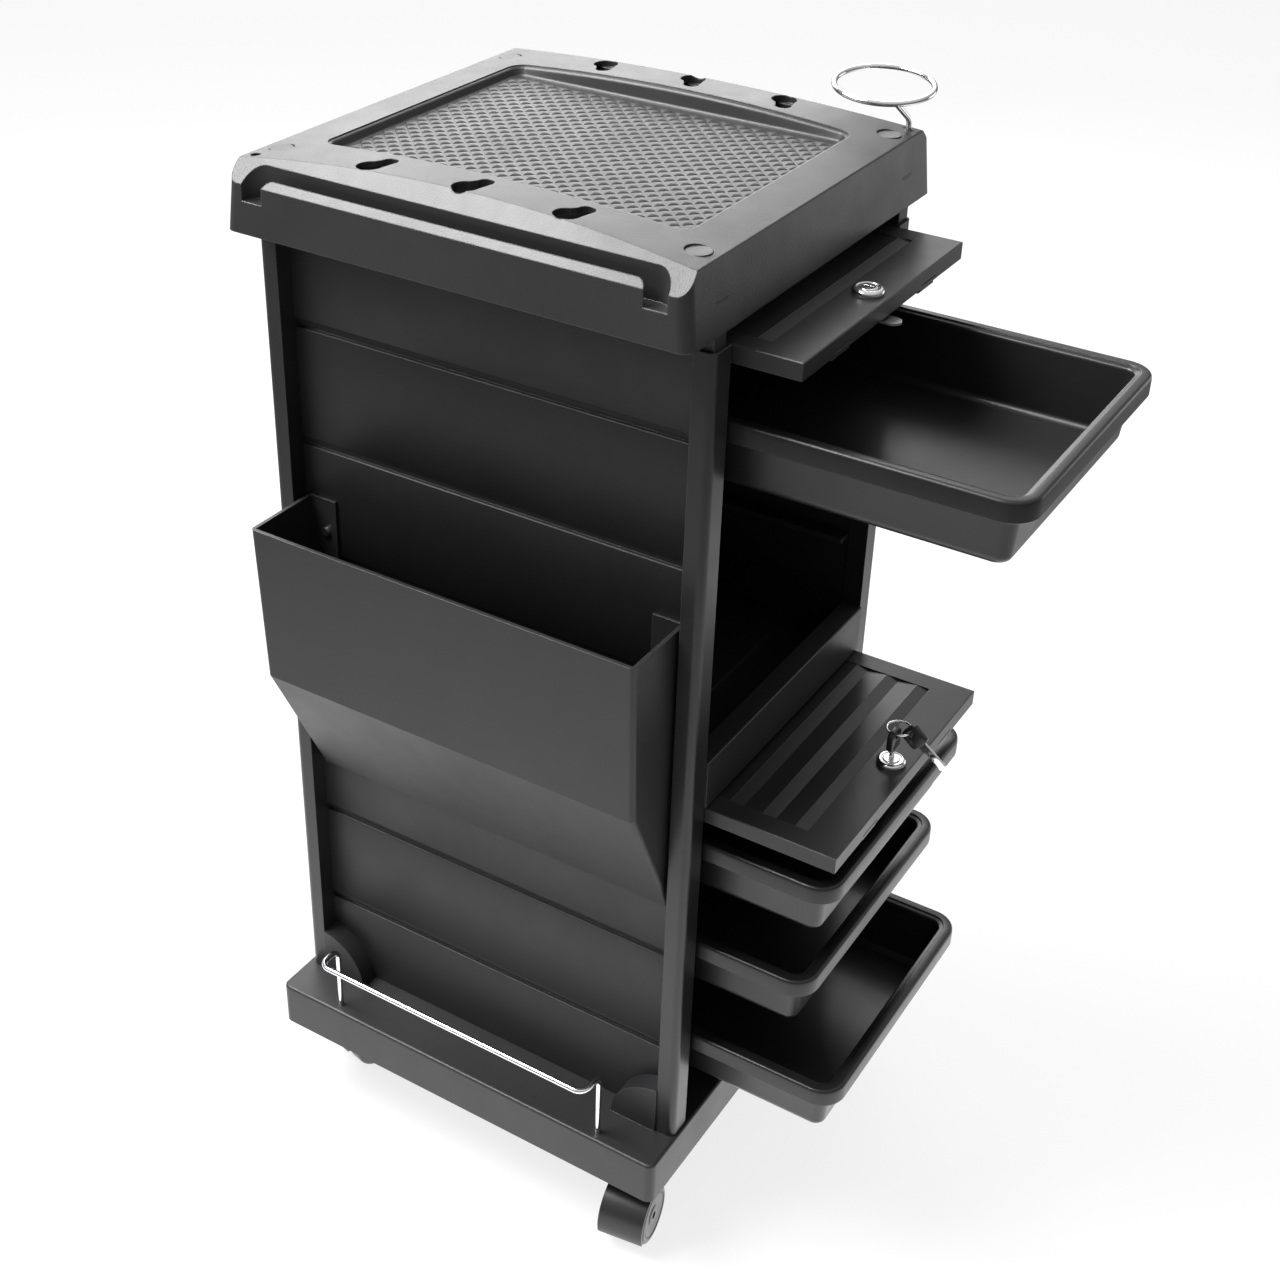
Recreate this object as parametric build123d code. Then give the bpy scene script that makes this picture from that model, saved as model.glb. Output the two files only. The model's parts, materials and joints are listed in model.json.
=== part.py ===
from build123d import *
import os
from math import cos, radians, sin

# Rolling salon trolley: a lockable cabinet on four twin-wheel casters, with a crowned tool tray on top,
# four pull-out drawers, two flip-up doors that slide in flat, a magazine pocket, a bottle rail and a
# swivelling dryer ring. Millimetres, +Z up, floor at z = 0, drawers open towards -Y.
# Everything is drawn about the cabinet's own centre line, then moved so that the origin is on the floor
# under the centre of the whole object's box.

# ---------------------------------------------------------------- driving dimensions
# Heights
BASE_BOTTOM = 72.0
BASE_TOP = 112.4
POST_TOP = 800.0
SKIRT_BOTTOM = 811.0
TRAY_END_TOP = 860.0
TRAY_CROWN = 10.0
PANEL_TOP = 808.5

# Cabinet plan
POST_OUT_X = 147.0
POST_IN_X = 126.5
POST_OUT_Y = 185.5
POST_IN_Y = 169.5
PANEL_OUT_X = 131.5
PANEL_IN_X = 128.0

# Base plate
BASE_HALF_X = 183.0
BASE_FRONT_Y = -188.0
BASE_BACK_Y = 190.0
BASE_WALL = 4.0
EAR_RADIUS = 45.0
EAR_CENTRE_Y = 172.5
EAR_OUT_X = 148.5

# Tray
TRAY_HALF_X = 180.0
TRAY_HALF_Y = 185.0
TRAY_DRAFT_X = 3.1
TRAY_DRAFT_Y = 7.0
DRAFT_HEIGHT = 64.0
TRAY_CORNER = 9.0
FACET_OFFSET = 1024.5
DECK_WALL = 3.0
CAVITY_HALF_X = 153.0
RECESS_HALF_X = 119.0
RECESS_HALF_Y = 146.0
RECESS_FLOOR = 856.5
LIP_IN_X = 173.2
LIP_CORNER = 8.0
CHANNEL_IN_X = 165.8
CHANNEL_CORNER = 14.0
CHANNEL_BOTTOM = 834.5
LIP_HALF_Y = 151.0
CHANNEL_HALF_Y = 168.0
TOOL_HOLE_Y = (78.0, 0.0, -78.0)
WIDE_HOLE_X = 147.0
WIDE_HOLE_RADIUS = 9.5
NARROW_HOLE_X = 133.5
NARROW_HOLE_RADIUS = 6.0
HOLE_SLANT = 3.0
COVER_X = 138.0
COVER_Y = 165.0
COVER_RADIUS = 8.9
SOCKET_X = 158.5
SOCKET_Y = 170.8
SOCKET_RADIUS = 3.75
SOCKET_BOTTOM = 834.0
BLOCK_TOP = 832.0

# Dryer ring
RING_WIRE = 2.1
RING_RADIUS = 36.5
RING_CENTRE = (169.3, -144.0, 886.0)
RING_TILT = 4.9
RING_LOW_SIDE = (-0.908, -0.42)
RING_JOINT = (140.9, -167.0, 883.0)

# Grooves across the panels mark the runner levels
GROOVE_LEVELS = (188.0, 284.0, 380.0, 535.0, 631.0, 727.0)
RIM_ABOVE_GROOVE = 17.0

# Drawers
DRAWER_LENGTH = 350.0
RIM_HALF_X = 122.0
RIM_HEIGHT = 15.0
RIM_RADIUS = 21.0
TUB_HALF_X = 112.5
TUB_DEPTH = 55.0
TUB_DRAFT = 5.0
TUB_WALL = 2.5
DRAWER_GROOVES = {"drawer_1": 727.0, "drawer_2": 380.0, "drawer_3": 284.0, "drawer_4": 188.0}
DRAWER_FRONTS = {"drawer_1": -390.0, "drawer_2": -290.0, "drawer_3": -278.0, "drawer_4": -309.0}
RUNNER_IN_X = 116.0

# Doors, both alike, drawn slid part of the way in
DOOR_HALF_X = 125.0
DOOR_LENGTH = 318.0
DOOR_THICKNESS = 12.8
DOOR_TOPS = {"upper": 799.5, "lower": 433.0}
DOOR_FRONTS = {"upper": -235.0, "lower": -291.0}
SLAT_HALF_X = 107.0
SLAT_FIRST = 31.0
SLAT_RISE = 10.5
SLAT_PITCH = 26.5
SLAT_COUNT = 10
SLAT_DEPTH = 1.8
HINGE_PIN_RADIUS = 2.5
HINGE_PIN_OUT_X = 127.6
HINGE_PIN_INSET = 6.0
TRACK_IN_X = 119.5
TRACK_HALF_Y = 156.0

# Cam locks
LOCK_INSET = 15.5
LOCK_HEAD_RADIUS = 11.2
LOCK_HEAD_HEIGHT = 4.5
LOCK_BARREL_RADIUS = 9.3
PLUG_RADIUS = 6.5
CAM_LENGTH = 26.0

# Keys
BOW_WIDTH = 16.0
BOW_LENGTH = 17.0
BOW_THICKNESS = 5.0
BLADE_WIDTH = 7.0
BLADE_THICKNESS = 2.0
BLADE_LENGTH = 24.0
KEY_NECK = 9.0
KEY_HOLE_INSET = 4.5
KEY_RING_RADIUS = 9.5
KEY_RING_WIRE = 0.75
SPARE_KEY_DROP = 38.0

# Middle shelf and sill
SILL_BOTTOM = 434.6
SILL_TOP = 474.0
SILL_FRONT_Y = -187.0
SILL_BACK_Y = -170.0
SHELF_TOP = 438.0

# Magazine pocket
POCKET_HALF_Y = 166.0
POCKET_TOP = 588.0
POCKET_TOP_X = 200.0
POCKET_CREASE_X = 194.0
POCKET_CREASE_Z = 455.0
POCKET_FOOT_X = 137.0
POCKET_FOOT_Z = 338.0
POCKET_WALL = 3.0

# Bottle rail
RAIL_WIRE = 2.25
RAIL_LEG_X = 174.0
RAIL_LEG_Y = 131.5
RAIL_OUT_X = 197.0
RAIL_TOP = 175.0
RAIL_BEND = 9.0

# Casters
CASTER_X = 138.0
CASTER_Y = 155.0
WHEEL_RADIUS = 25.0
WHEEL_WIDTH = 15.0
WHEEL_GAP = 4.5
CASTER_TRAIL = 20.0
AXLE_RADIUS = 3.0
STEM_RADIUS = 5.0
SLEEVE_RADIUS = 8.0
CASTERS = {
    "front_left": (-CASTER_X, -CASTER_Y, 188.0),
    "front_right": (CASTER_X, -CASTER_Y, 205.0),
    "rear_left": (-CASTER_X, CASTER_Y, -12.0),
    "rear_right": (CASTER_X, CASTER_Y, 20.0),
}

# Clearances
RUNNING = 0.06
SLIDING_GAP = 0.3


# ---------------------------------------------------------------- helpers
def block(x0, x1, y0, y1, z0, z1):
    """A box between two corners."""
    centre = Pos((x0 + x1) / 2, (y0 + y1) / 2, (z0 + z1) / 2)
    return centre * Box(abs(x1 - x0), abs(y1 - y0), abs(z1 - z0))


def column(x, y, z0, z1, radius):
    """An upright cylinder."""
    return Pos(x, y, (z0 + z1) / 2) * Cylinder(radius, z1 - z0)


def rounded_prism(half_x, y0, y1, z0, z1, radius):
    """An upright prism with a rounded-rectangle plan, centred on x = 0."""
    plan = RectangleRounded(2 * half_x, y1 - y0, radius)
    return extrude(Pos(0, (y0 + y1) / 2, z0) * plan, amount=z1 - z0)


def tapered_prism(half_x, y0, y1, z0, z1, radius, draft):
    """A prism that narrows by draft on every side from its top z1 down to z0."""
    middle = (y0 + y1) / 2
    top = Pos(0, middle, z1) * RectangleRounded(2 * half_x, y1 - y0, radius)
    bottom = Pos(0, middle, z0) * RectangleRounded(2 * (half_x - draft), y1 - y0 - 2 * draft, radius - draft)
    return loft([bottom, top])


def prism_x(points, x0, x1):
    """A polygon of (y, z) points pushed along X."""
    wire = Polyline([(x0, y, z) for y, z in points], close=True)
    return extrude(make_face(wire), amount=x1 - x0, dir=(1, 0, 0))


def prism_y(points, y0, y1):
    """A polygon of (x, z) points pushed along Y."""
    wire = Polyline([(x, y0, z) for x, z in points], close=True)
    return extrude(make_face(wire), amount=y1 - y0, dir=(0, 1, 0))


def both_sides(shape):
    """The shape and its mirror image across x = 0."""
    return [shape, mirror(shape, Plane.YZ)]


def four_corners(make, x, y):
    """What make(x, y) returns at the four corners of a rectangle."""
    return [make(sx * x, sy * y) for sx in (-1, 1) for sy in (-1, 1)]


def as_group(shapes):
    """Separate solids that share one node."""
    return Compound(children=[solid for shape in shapes for solid in shape.solids()])


def deck_height(y):
    """Height of the crowned deck at distance y from the middle."""
    return TRAY_END_TOP + TRAY_CROWN * (1 - (y / (TRAY_HALF_Y - 5)) ** 2)


# ---------------------------------------------------------------- cabinet
def caster_boss(x, y):
    return column(x, y, BASE_BOTTOM, BASE_TOP - 1, SLEEVE_RADIUS + 6)


def base_plate():
    """Upturned tray that carries the posts above and the caster sleeves below."""
    outer = rounded_prism(BASE_HALF_X, BASE_FRONT_Y, BASE_BACK_Y, BASE_BOTTOM, BASE_TOP, 7)
    top_edges = outer.faces().sort_by(Axis.Z)[-1].edges()
    outer = fillet(top_edges, 2.5)
    hollow = rounded_prism(BASE_HALF_X - BASE_WALL, BASE_FRONT_Y + BASE_WALL, BASE_BACK_Y - BASE_WALL,
                           BASE_BOTTOM, BASE_TOP - BASE_WALL, 4)
    for boss in four_corners(caster_boss, CASTER_X, CASTER_Y):
        hollow -= boss
    for boss in (rail_boss(RAIL_LEG_Y), rail_boss(-RAIL_LEG_Y)):
        hollow -= boss
    plate = outer - hollow
    for hole in four_corners(sleeve_hole, CASTER_X, CASTER_Y):
        plate -= hole
    for y in (RAIL_LEG_Y, -RAIL_LEG_Y):
        plate -= column(-RAIL_LEG_X, y, BASE_TOP - 16, BASE_TOP + 1, RAIL_WIRE + RUNNING)
    for side in both_sides(post_ears()):
        plate += side
    return plate


def rail_boss(y):
    return column(-RAIL_LEG_X, y, BASE_TOP - 22, BASE_TOP, RAIL_WIRE + 4)


def sleeve_hole(x, y):
    return column(x, y, BASE_BOTTOM - 1, BASE_TOP - 6, SLEEVE_RADIUS)


def post_ears():
    """Quarter-round ears that brace the left-hand posts' feet against the side panel."""
    middle = -(EAR_OUT_X + PANEL_OUT_X) / 2
    ears = []
    for end in (-1, 1):
        disc = Pos(middle, end * EAR_CENTRE_Y, BASE_TOP - 0.5) * Rot(0, 90, 0)
        disc *= Cylinder(EAR_RADIUS, EAR_OUT_X - PANEL_OUT_X)
        ears.append(disc & block(-200, -100, 0, end * POST_IN_Y, BASE_TOP - 0.5, BASE_TOP + 100))
    return ears[0] + ears[1]


def post(side_x, side_y):
    """Hollow corner post with a rounded outer edge; the tray's lug plugs into its open top."""
    width = POST_OUT_X - POST_IN_X
    depth = POST_OUT_Y - POST_IN_Y
    x = side_x * (POST_OUT_X + POST_IN_X) / 2
    y = side_y * (POST_OUT_Y + POST_IN_Y) / 2
    shell = extrude(Pos(x, y, BASE_TOP) * Rectangle(width, depth), amount=POST_TOP - BASE_TOP)
    outer_edge = shell.edges().filter_by(Axis.Z).sort_by_distance((side_x * 400, side_y * 400, 400))[0]
    shell = fillet(outer_edge, 6)
    bore = extrude(Pos(x, y, BASE_TOP) * RectangleRounded(width - 5, depth - 5, 0.8), amount=POST_TOP - BASE_TOP)
    return shell - bore


def pocket_screw_places():
    return [(y, z) for y in (-150.0, 150.0) for z in (560.0, 480.0)]


def side_panel(side):
    """Thin upright panel between two posts, grooved across its outer face at each runner level."""
    out = side * PANEL_OUT_X
    panel = block(out, side * PANEL_IN_X, -POST_IN_Y, POST_IN_Y, BASE_TOP, PANEL_TOP)
    for z in GROOVE_LEVELS:
        outline = [(out + side, z + 1.6), (out - 1.6 * side, z + 1.2),
                   (out - 1.6 * side, z - 0.4), (out + side, z - 3.0)]
        panel -= prism_y(outline, -POST_IN_Y, POST_IN_Y)
    if side < 0:
        for y, z in pocket_screw_places():
            panel -= Pos(out, y, z) * Rot(0, 90, 0) * Cylinder(2.1, 20)
    return panel


def rear_screw_places():
    return [(x, z) for x in (-118.0, 118.0) for z in (140.0, 455.0, 770.0)]


def rear_panel():
    panel = block(-POST_IN_X, POST_IN_X, 174, 178, BASE_TOP, PANEL_TOP)
    for z in GROOVE_LEVELS:
        panel -= block(-POST_IN_X, POST_IN_X, 176.6, 179, z - 1.2, z + 1.2)
    for x, z in rear_screw_places():
        panel -= Pos(x, 176, z) * Rot(90, 0, 0) * Cylinder(2.1, 20)
    return panel


def rear_cleats():
    """Upright battens inside the rear posts that the rear panel is screwed to."""
    batten = block(POST_IN_X - 14, POST_IN_X - 2, 169.7, 174, BASE_TOP, PANEL_TOP)
    batten -= block(0, 200, 160, 200, SILL_BOTTOM, SHELF_TOP + 3)
    for x, z in rear_screw_places():
        batten -= Pos(x, 172, z) * Rot(90, 0, 0) * Cylinder(2.1, 20)
    return as_group(both_sides(batten))


def frame_screws():
    screws = []
    for x, z in rear_screw_places():
        head = Pos(x, 179.1, z) * Rot(90, 0, 0) * Cylinder(3.8, 2.2)
        shank = Pos(x, 174.1, z) * Rot(90, 0, 0) * Cylinder(1.95, 7.8)
        slot = block(x - 4, x + 4, 179.4, 181, z - 0.5, z + 0.5)
        screws.append(head + shank - slot)
    return as_group(screws)


def rim_top(groove):
    """Height of a drawer's rim when its skirt rides on the runners at a groove."""
    return groove + RIM_ABOVE_GROOVE


def drawer_runners():
    """Ledges on the side panels that the drawers' rims slide on."""
    rails = []
    for groove in GROOVE_LEVELS:
        z = rim_top(groove) - RIM_HEIGHT - SLIDING_GAP
        rails += both_sides(block(RUNNER_IN_X, PANEL_IN_X, -168, 168, z - 4, z))
    return as_group(rails)


def door_tracks():
    """Ledges above and below each door's side edges."""
    rails = []
    for name, top in DOOR_TOPS.items():
        under = top - DOOR_THICKNESS - SLIDING_GAP
        rails += both_sides(block(TRACK_IN_X, PANEL_IN_X, -TRACK_HALF_Y, TRACK_HALF_Y, under - 2.7, under))
        if name == "upper":
            over = top + SLIDING_GAP
            rails += both_sides(block(TRACK_IN_X, PANEL_IN_X, -TRACK_HALF_Y, TRACK_HALF_Y, over, over + 2.5))
    return as_group(rails)


def corner_blocks():
    """Blocks standing on the posts, inside the skirt, that the tray's screws bite into."""
    def make(x, y):
        side = 1 if x > 0 else -1
        end = 1 if y > 0 else -1
        solid = block(side * PANEL_OUT_X, side * 145, end * 157, end * (POST_IN_Y + 2), POST_TOP, BLOCK_TOP)
        return solid - column(x, y, POST_TOP - 1, BLOCK_TOP + 1, 2.1)
    return as_group(four_corners(make, COVER_X, COVER_Y))


def sill_rail():
    """Upside-down channel across the front, between the two compartments."""
    channel = block(-POST_IN_X, POST_IN_X, SILL_FRONT_Y, SILL_BACK_Y, SILL_BOTTOM, SILL_TOP)
    front_top = channel.edges().filter_by(Axis.X).sort_by_distance((0, SILL_FRONT_Y, SILL_TOP))[0]
    channel = fillet(front_top, 1.0)
    inside = block(-POST_IN_X + 4, POST_IN_X - 4, SILL_FRONT_Y + 3, SILL_BACK_Y - 3, SILL_BOTTOM, SILL_TOP - 3)
    return channel - inside


def mid_shelf():
    """Floor of the upper compartment, with a raised pad behind the sill."""
    floor = block(-PANEL_IN_X, PANEL_IN_X, -POST_IN_Y, POST_IN_Y, SILL_BOTTOM, SHELF_TOP)
    floor += block(-POST_IN_X, POST_IN_X, SILL_BACK_Y, 174, SILL_BOTTOM, SHELF_TOP)
    floor += rounded_prism(110, -120, 150, SHELF_TOP, SHELF_TOP + 2, 8)
    return floor


def magazine_pocket():
    """Open-topped pouch on the left side panel, which closes its back."""
    outside = [(-PANEL_OUT_X, POCKET_TOP), (-POCKET_TOP_X, POCKET_TOP), (-POCKET_CREASE_X, POCKET_CREASE_Z),
               (-POCKET_FOOT_X, POCKET_FOOT_Z), (-PANEL_OUT_X, POCKET_FOOT_Z)]
    wall = POCKET_WALL
    inside = [(-PANEL_OUT_X - 2, POCKET_TOP + 1), (-POCKET_TOP_X + wall, POCKET_TOP + 1),
              (-POCKET_CREASE_X + wall, POCKET_CREASE_Z + 1), (-POCKET_FOOT_X - 2, POCKET_FOOT_Z + 9),
              (-PANEL_OUT_X - 2, POCKET_FOOT_Z + 9)]
    shell = prism_y(outside, -POCKET_HALF_Y, POCKET_HALF_Y)
    corners = [edge for edge in shell.edges() if abs(edge.center().Y) > POCKET_HALF_Y - 1
               and edge.center().X < -POCKET_FOOT_X - 5 and edge.center().Z < POCKET_TOP - 1]
    shell = fillet(corners, 4)
    shell -= prism_y(inside, -POCKET_HALF_Y + wall, POCKET_HALF_Y - wall)
    back_opening = block(-PANEL_OUT_X - 3, -PANEL_OUT_X + 1, -POCKET_HALF_Y + 26, POCKET_HALF_Y - 26,
                         POCKET_FOOT_Z + 9, POCKET_TOP + 1)
    shell -= back_opening
    for y, z in pocket_screw_places():
        shell -= Pos(-PANEL_OUT_X, y, z) * Rot(0, 90, 0) * Cylinder(2.1, 12)
    return shell


def pocket_screws():
    screws = []
    for y, z in pocket_screw_places():
        head = Pos(-PANEL_OUT_X - 3.1, y, z) * Rot(0, 90, 0) * Cylinder(3.6, 2.2)
        shank = Pos(-PANEL_OUT_X + 1, y, z) * Rot(0, 90, 0) * Cylinder(1.95, 6.2)
        screws.append(head + shank)
    return as_group(screws)


def base_rail():
    """Bent wire rail that keeps bottles on the base plate's left ledge."""
    foot = BASE_TOP - 15
    corners = [(-RAIL_LEG_X, RAIL_LEG_Y, foot), (-RAIL_LEG_X, RAIL_LEG_Y, RAIL_TOP),
               (-RAIL_OUT_X, RAIL_LEG_Y, RAIL_TOP), (-RAIL_OUT_X, -RAIL_LEG_Y, RAIL_TOP),
               (-RAIL_LEG_X, -RAIL_LEG_Y, RAIL_TOP), (-RAIL_LEG_X, -RAIL_LEG_Y, foot)]
    path = FilletPolyline(*corners, radius=RAIL_BEND)
    section = Plane(origin=corners[0], z_dir=(0, 0, 1)) * Circle(RAIL_WIRE)
    return sweep(section, path=path)


def caster_sleeves():
    """Plastic sleeves pressed into the base plate for the caster stems."""
    def make(x, y):
        tube = column(x, y, BASE_BOTTOM, BASE_TOP - 6, SLEEVE_RADIUS)
        return tube - column(x, y, BASE_BOTTOM - 1, BASE_TOP - 9, STEM_RADIUS + RUNNING)
    return as_group(four_corners(make, CASTER_X, CASTER_Y))


# ---------------------------------------------------------------- tray
def under_facets():
    """Space under the two sloping facets, on which height plus distance from the middle is FACET_OFFSET."""
    side = 200.0
    high = 890.0
    flat = FACET_OFFSET - high
    outline = [(-side, 790), (-side, FACET_OFFSET - side), (-flat, high),
               (flat, high), (side, FACET_OFFSET - side), (side, 790)]
    return prism_y(outline, -TRAY_HALF_Y - 5, TRAY_HALF_Y + 5)


def tray_outer():
    """Drafted, round-cornered block under a crowned deck with a sloping facet down each long side."""
    body = tapered_prism_up()
    span = TRAY_HALF_Y + 5
    edge_z = deck_height(span)
    outline = Polyline([(-200, span, edge_z), (-200, span, 800), (-200, -span, 800), (-200, -span, edge_z)])
    arch = ThreePointArc((-200, -span, edge_z), (-200, 0, TRAY_END_TOP + TRAY_CROWN), (-200, span, edge_z))
    crowned = extrude(make_face(Wire([*outline.edges(), arch])), amount=400, dir=(1, 0, 0))
    upper = body & crowned & under_facets()
    end_edges = [edge for edge in upper.edges() if edge.length > 250
                 and abs(edge.center().Y) > TRAY_HALF_Y - 10 and edge.center().Z > TRAY_END_TOP - 3]
    return fillet(end_edges, 1.6)


def tapered_prism_up():
    """The tray's drafted sides, wider at the skirt's lower edge."""
    bottom = Pos(0, 0, SKIRT_BOTTOM) * RectangleRounded(2 * TRAY_HALF_X, 2 * TRAY_HALF_Y, TRAY_CORNER)
    top = Pos(0, 0, SKIRT_BOTTOM + DRAFT_HEIGHT) * RectangleRounded(
        2 * (TRAY_HALF_X - TRAY_DRAFT_X), 2 * (TRAY_HALF_Y - TRAY_DRAFT_Y), TRAY_CORNER)
    return loft([bottom, top])


def tool_hole(y):
    """Pear-shaped hole with its wide end outwards and a little slanted, on the left side."""
    wide_y = y + HOLE_SLANT
    narrow_y = y - HOLE_SLANT
    wide = column(-WIDE_HOLE_X, wide_y, 863, 880, WIDE_HOLE_RADIUS)
    narrow = column(-NARROW_HOLE_X, narrow_y, 863, 880, NARROW_HOLE_RADIUS)
    bridge = prism_z([(-WIDE_HOLE_X, wide_y + WIDE_HOLE_RADIUS - 0.1),
                      (-WIDE_HOLE_X, wide_y - WIDE_HOLE_RADIUS + 0.1),
                      (-NARROW_HOLE_X, narrow_y - NARROW_HOLE_RADIUS),
                      (-NARROW_HOLE_X, narrow_y + NARROW_HOLE_RADIUS)], 863, 880)
    return wide + narrow + bridge


def prism_z(points, z0, z1):
    """A polygon of (x, y) points pushed upwards."""
    wire = Polyline([(x, y, z0) for x, y in points], close=True)
    return extrude(make_face(wire), amount=z1 - z0, dir=(0, 0, 1))


def side_channel():
    """Open groove in the left facet that turns out to the skirt's face at both ends, behind a raised lip."""
    def plan(inner_x, half_y, corner, bottom):
        outer_x = inner_x + 60.0
        middle = Pos(-(inner_x + outer_x) / 2, 0, bottom)
        return extrude(middle * RectangleRounded(outer_x - inner_x, 2 * half_y, corner), amount=900 - bottom)
    groove = plan(CHANNEL_IN_X, CHANNEL_HALF_Y, CHANNEL_CORNER, CHANNEL_BOTTOM)
    return groove - plan(LIP_IN_X, LIP_HALF_Y, LIP_CORNER, CHANNEL_BOTTOM - 1)


def tray_top():
    """One-piece tray: crowned deck with a sunk floor, deep skirt, tool holes and post lugs."""
    tray = tray_outer()
    cavity_top = RECESS_FLOOR - DECK_WALL
    cavity = block(-CAVITY_HALF_X, CAVITY_HALF_X, -TRAY_HALF_Y + 6.5, TRAY_HALF_Y - 6.5,
                   SKIRT_BOTTOM - 1, cavity_top)
    for side in both_sides(tool_cavity()):
        cavity += side
    for side in both_sides(block(-TRAY_HALF_X + 5, -CAVITY_HALF_X + 1, -TRAY_HALF_Y + 8, TRAY_HALF_Y - 8,
                                 SKIRT_BOTTOM - 1, CHANNEL_BOTTOM - 3.5)):
        cavity += side
    for lug in four_corners(tray_lug, 1, 1):
        cavity -= lug
    for boss in four_corners(screw_boss, COVER_X, COVER_Y):
        cavity -= boss
    tray -= cavity
    for lug in four_corners(tray_lug, 1, 1):
        tray += lug
    recess = tapered_prism(RECESS_HALF_X + 2, -RECESS_HALF_Y - 2, RECESS_HALF_Y + 2,
                           RECESS_FLOOR, RECESS_FLOOR + 16, 14, 3)
    tray -= recess
    for side in both_sides(side_channel()):
        tray -= side
    for y in TOOL_HOLE_Y:
        for side in both_sides(tool_hole(y)):
            tray -= side
    for hole in four_corners(screw_hole, COVER_X, COVER_Y):
        tray -= hole
    for x, y in ((-SOCKET_X, SOCKET_Y), (SOCKET_X, -SOCKET_Y)):
        tray -= column(x, y, SOCKET_BOTTOM, 880, SOCKET_RADIUS)
    return tray


def tool_cavity():
    """Raised part of the tray's hollow, under the left-hand tool holes."""
    return block(-CAVITY_HALF_X, -RECESS_HALF_X - 5, -105, 105, 850, 864)


def tray_lug(side_x, side_y):
    """Peg that plugs into a post's open top."""
    x = side_x * (POST_OUT_X + POST_IN_X) / 2
    y = side_y * (POST_OUT_Y + POST_IN_Y) / 2
    width = POST_OUT_X - POST_IN_X - 5.6
    depth = POST_OUT_Y - POST_IN_Y - 5.6
    return block(x - width / 2, x + width / 2, y - depth / 2, y + depth / 2, 780, CHANNEL_BOTTOM)


def screw_boss(x, y):
    return column(x, y, BLOCK_TOP, RECESS_FLOOR, 7)


def screw_hole(x, y):
    """Stepped hole for a tray screw and the cover that hides it."""
    cover_seat = deck_height(COVER_Y) - 2.4
    hole = column(x, y, cover_seat, 880, COVER_RADIUS + 0.2)
    hole += column(x, y, cover_seat - 3.4, 880, 4.8)
    return hole + column(x, y, SKIRT_BOTTOM - 1, 880, 2.1)


def tray_screws():
    def make(x, y):
        under_cover = deck_height(COVER_Y) - 2.5
        head = column(x, y, under_cover - 3.3, under_cover, 4.5)
        return head + column(x, y, BLOCK_TOP - 18, under_cover - 3.2, 1.95)
    return as_group(four_corners(make, COVER_X, COVER_Y))


def screw_covers():
    """Round snap-in caps over the tray screws."""
    def make(x, y):
        top = deck_height(COVER_Y) - 0.2
        return column(x, y, deck_height(COVER_Y) - 2.4, top, COVER_RADIUS)
    return as_group(four_corners(make, COVER_X, COVER_Y))


def ring_bush():
    """Plastic bush in the tray's right-hand socket."""
    tube = column(SOCKET_X, -SOCKET_Y, SOCKET_BOTTOM, deck_height(SOCKET_Y), SOCKET_RADIUS)
    return tube - column(SOCKET_X, -SOCKET_Y, SOCKET_BOTTOM + 1, 880, RING_WIRE + RUNNING)


def dryer_ring():
    """Chrome ring for a hair dryer's nozzle, on a bent leg that turns in the bush."""
    tilt_axis = Axis(RING_CENTRE, (-RING_LOW_SIDE[1], RING_LOW_SIDE[0], 0))
    ring = (Pos(*RING_CENTRE) * Torus(RING_RADIUS, RING_WIRE)).rotate(tilt_axis, RING_TILT)
    low = (SOCKET_X, -SOCKET_Y, SOCKET_BOTTOM + 1.2)
    bend = (SOCKET_X, -SOCKET_Y, 868)
    path = FilletPolyline(low, bend, RING_JOINT, radius=7)
    leg = sweep(Plane(origin=low, z_dir=(0, 0, 1)) * Circle(RING_WIRE - 0.02), path=path)
    return ring + leg


# ---------------------------------------------------------------- drawers
def drawer(name):
    """Moulded tub with a rolled, stepped rim whose skirt slides on the runners."""
    top = rim_top(DRAWER_GROOVES[name])
    front = DRAWER_FRONTS[name]
    back = front + DRAWER_LENGTH
    inset = RIM_HALF_X - TUB_HALF_X
    rim = rounded_prism(RIM_HALF_X, front, back, top - RIM_HEIGHT, top - 1.4, RIM_RADIUS)
    rim += rounded_prism(RIM_HALF_X - 2.2, front + 2.2, back - 2.2, top - 1.5, top, RIM_RADIUS - 2.2)
    rim -= rounded_prism(RIM_HALF_X - 3, front + 3, back - 3, top - RIM_HEIGHT, top - 4, RIM_RADIUS - 3)
    tub = tapered_prism(TUB_HALF_X, front + inset, back - inset, top - TUB_DEPTH, top - 2, 14, TUB_DRAFT)
    tub = fillet(tub.faces().sort_by(Axis.Z)[0].edges(), 8)
    inner_inset = inset + TUB_WALL
    inside = tapered_prism(TUB_HALF_X - TUB_WALL, front + inner_inset, back - inner_inset,
                           top - TUB_DEPTH + TUB_WALL, top + 1, 11.5, TUB_DRAFT)
    inside = fillet(inside.faces().sort_by(Axis.Z)[0].edges(), 5.5)
    return rim + tub - inside


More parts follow.
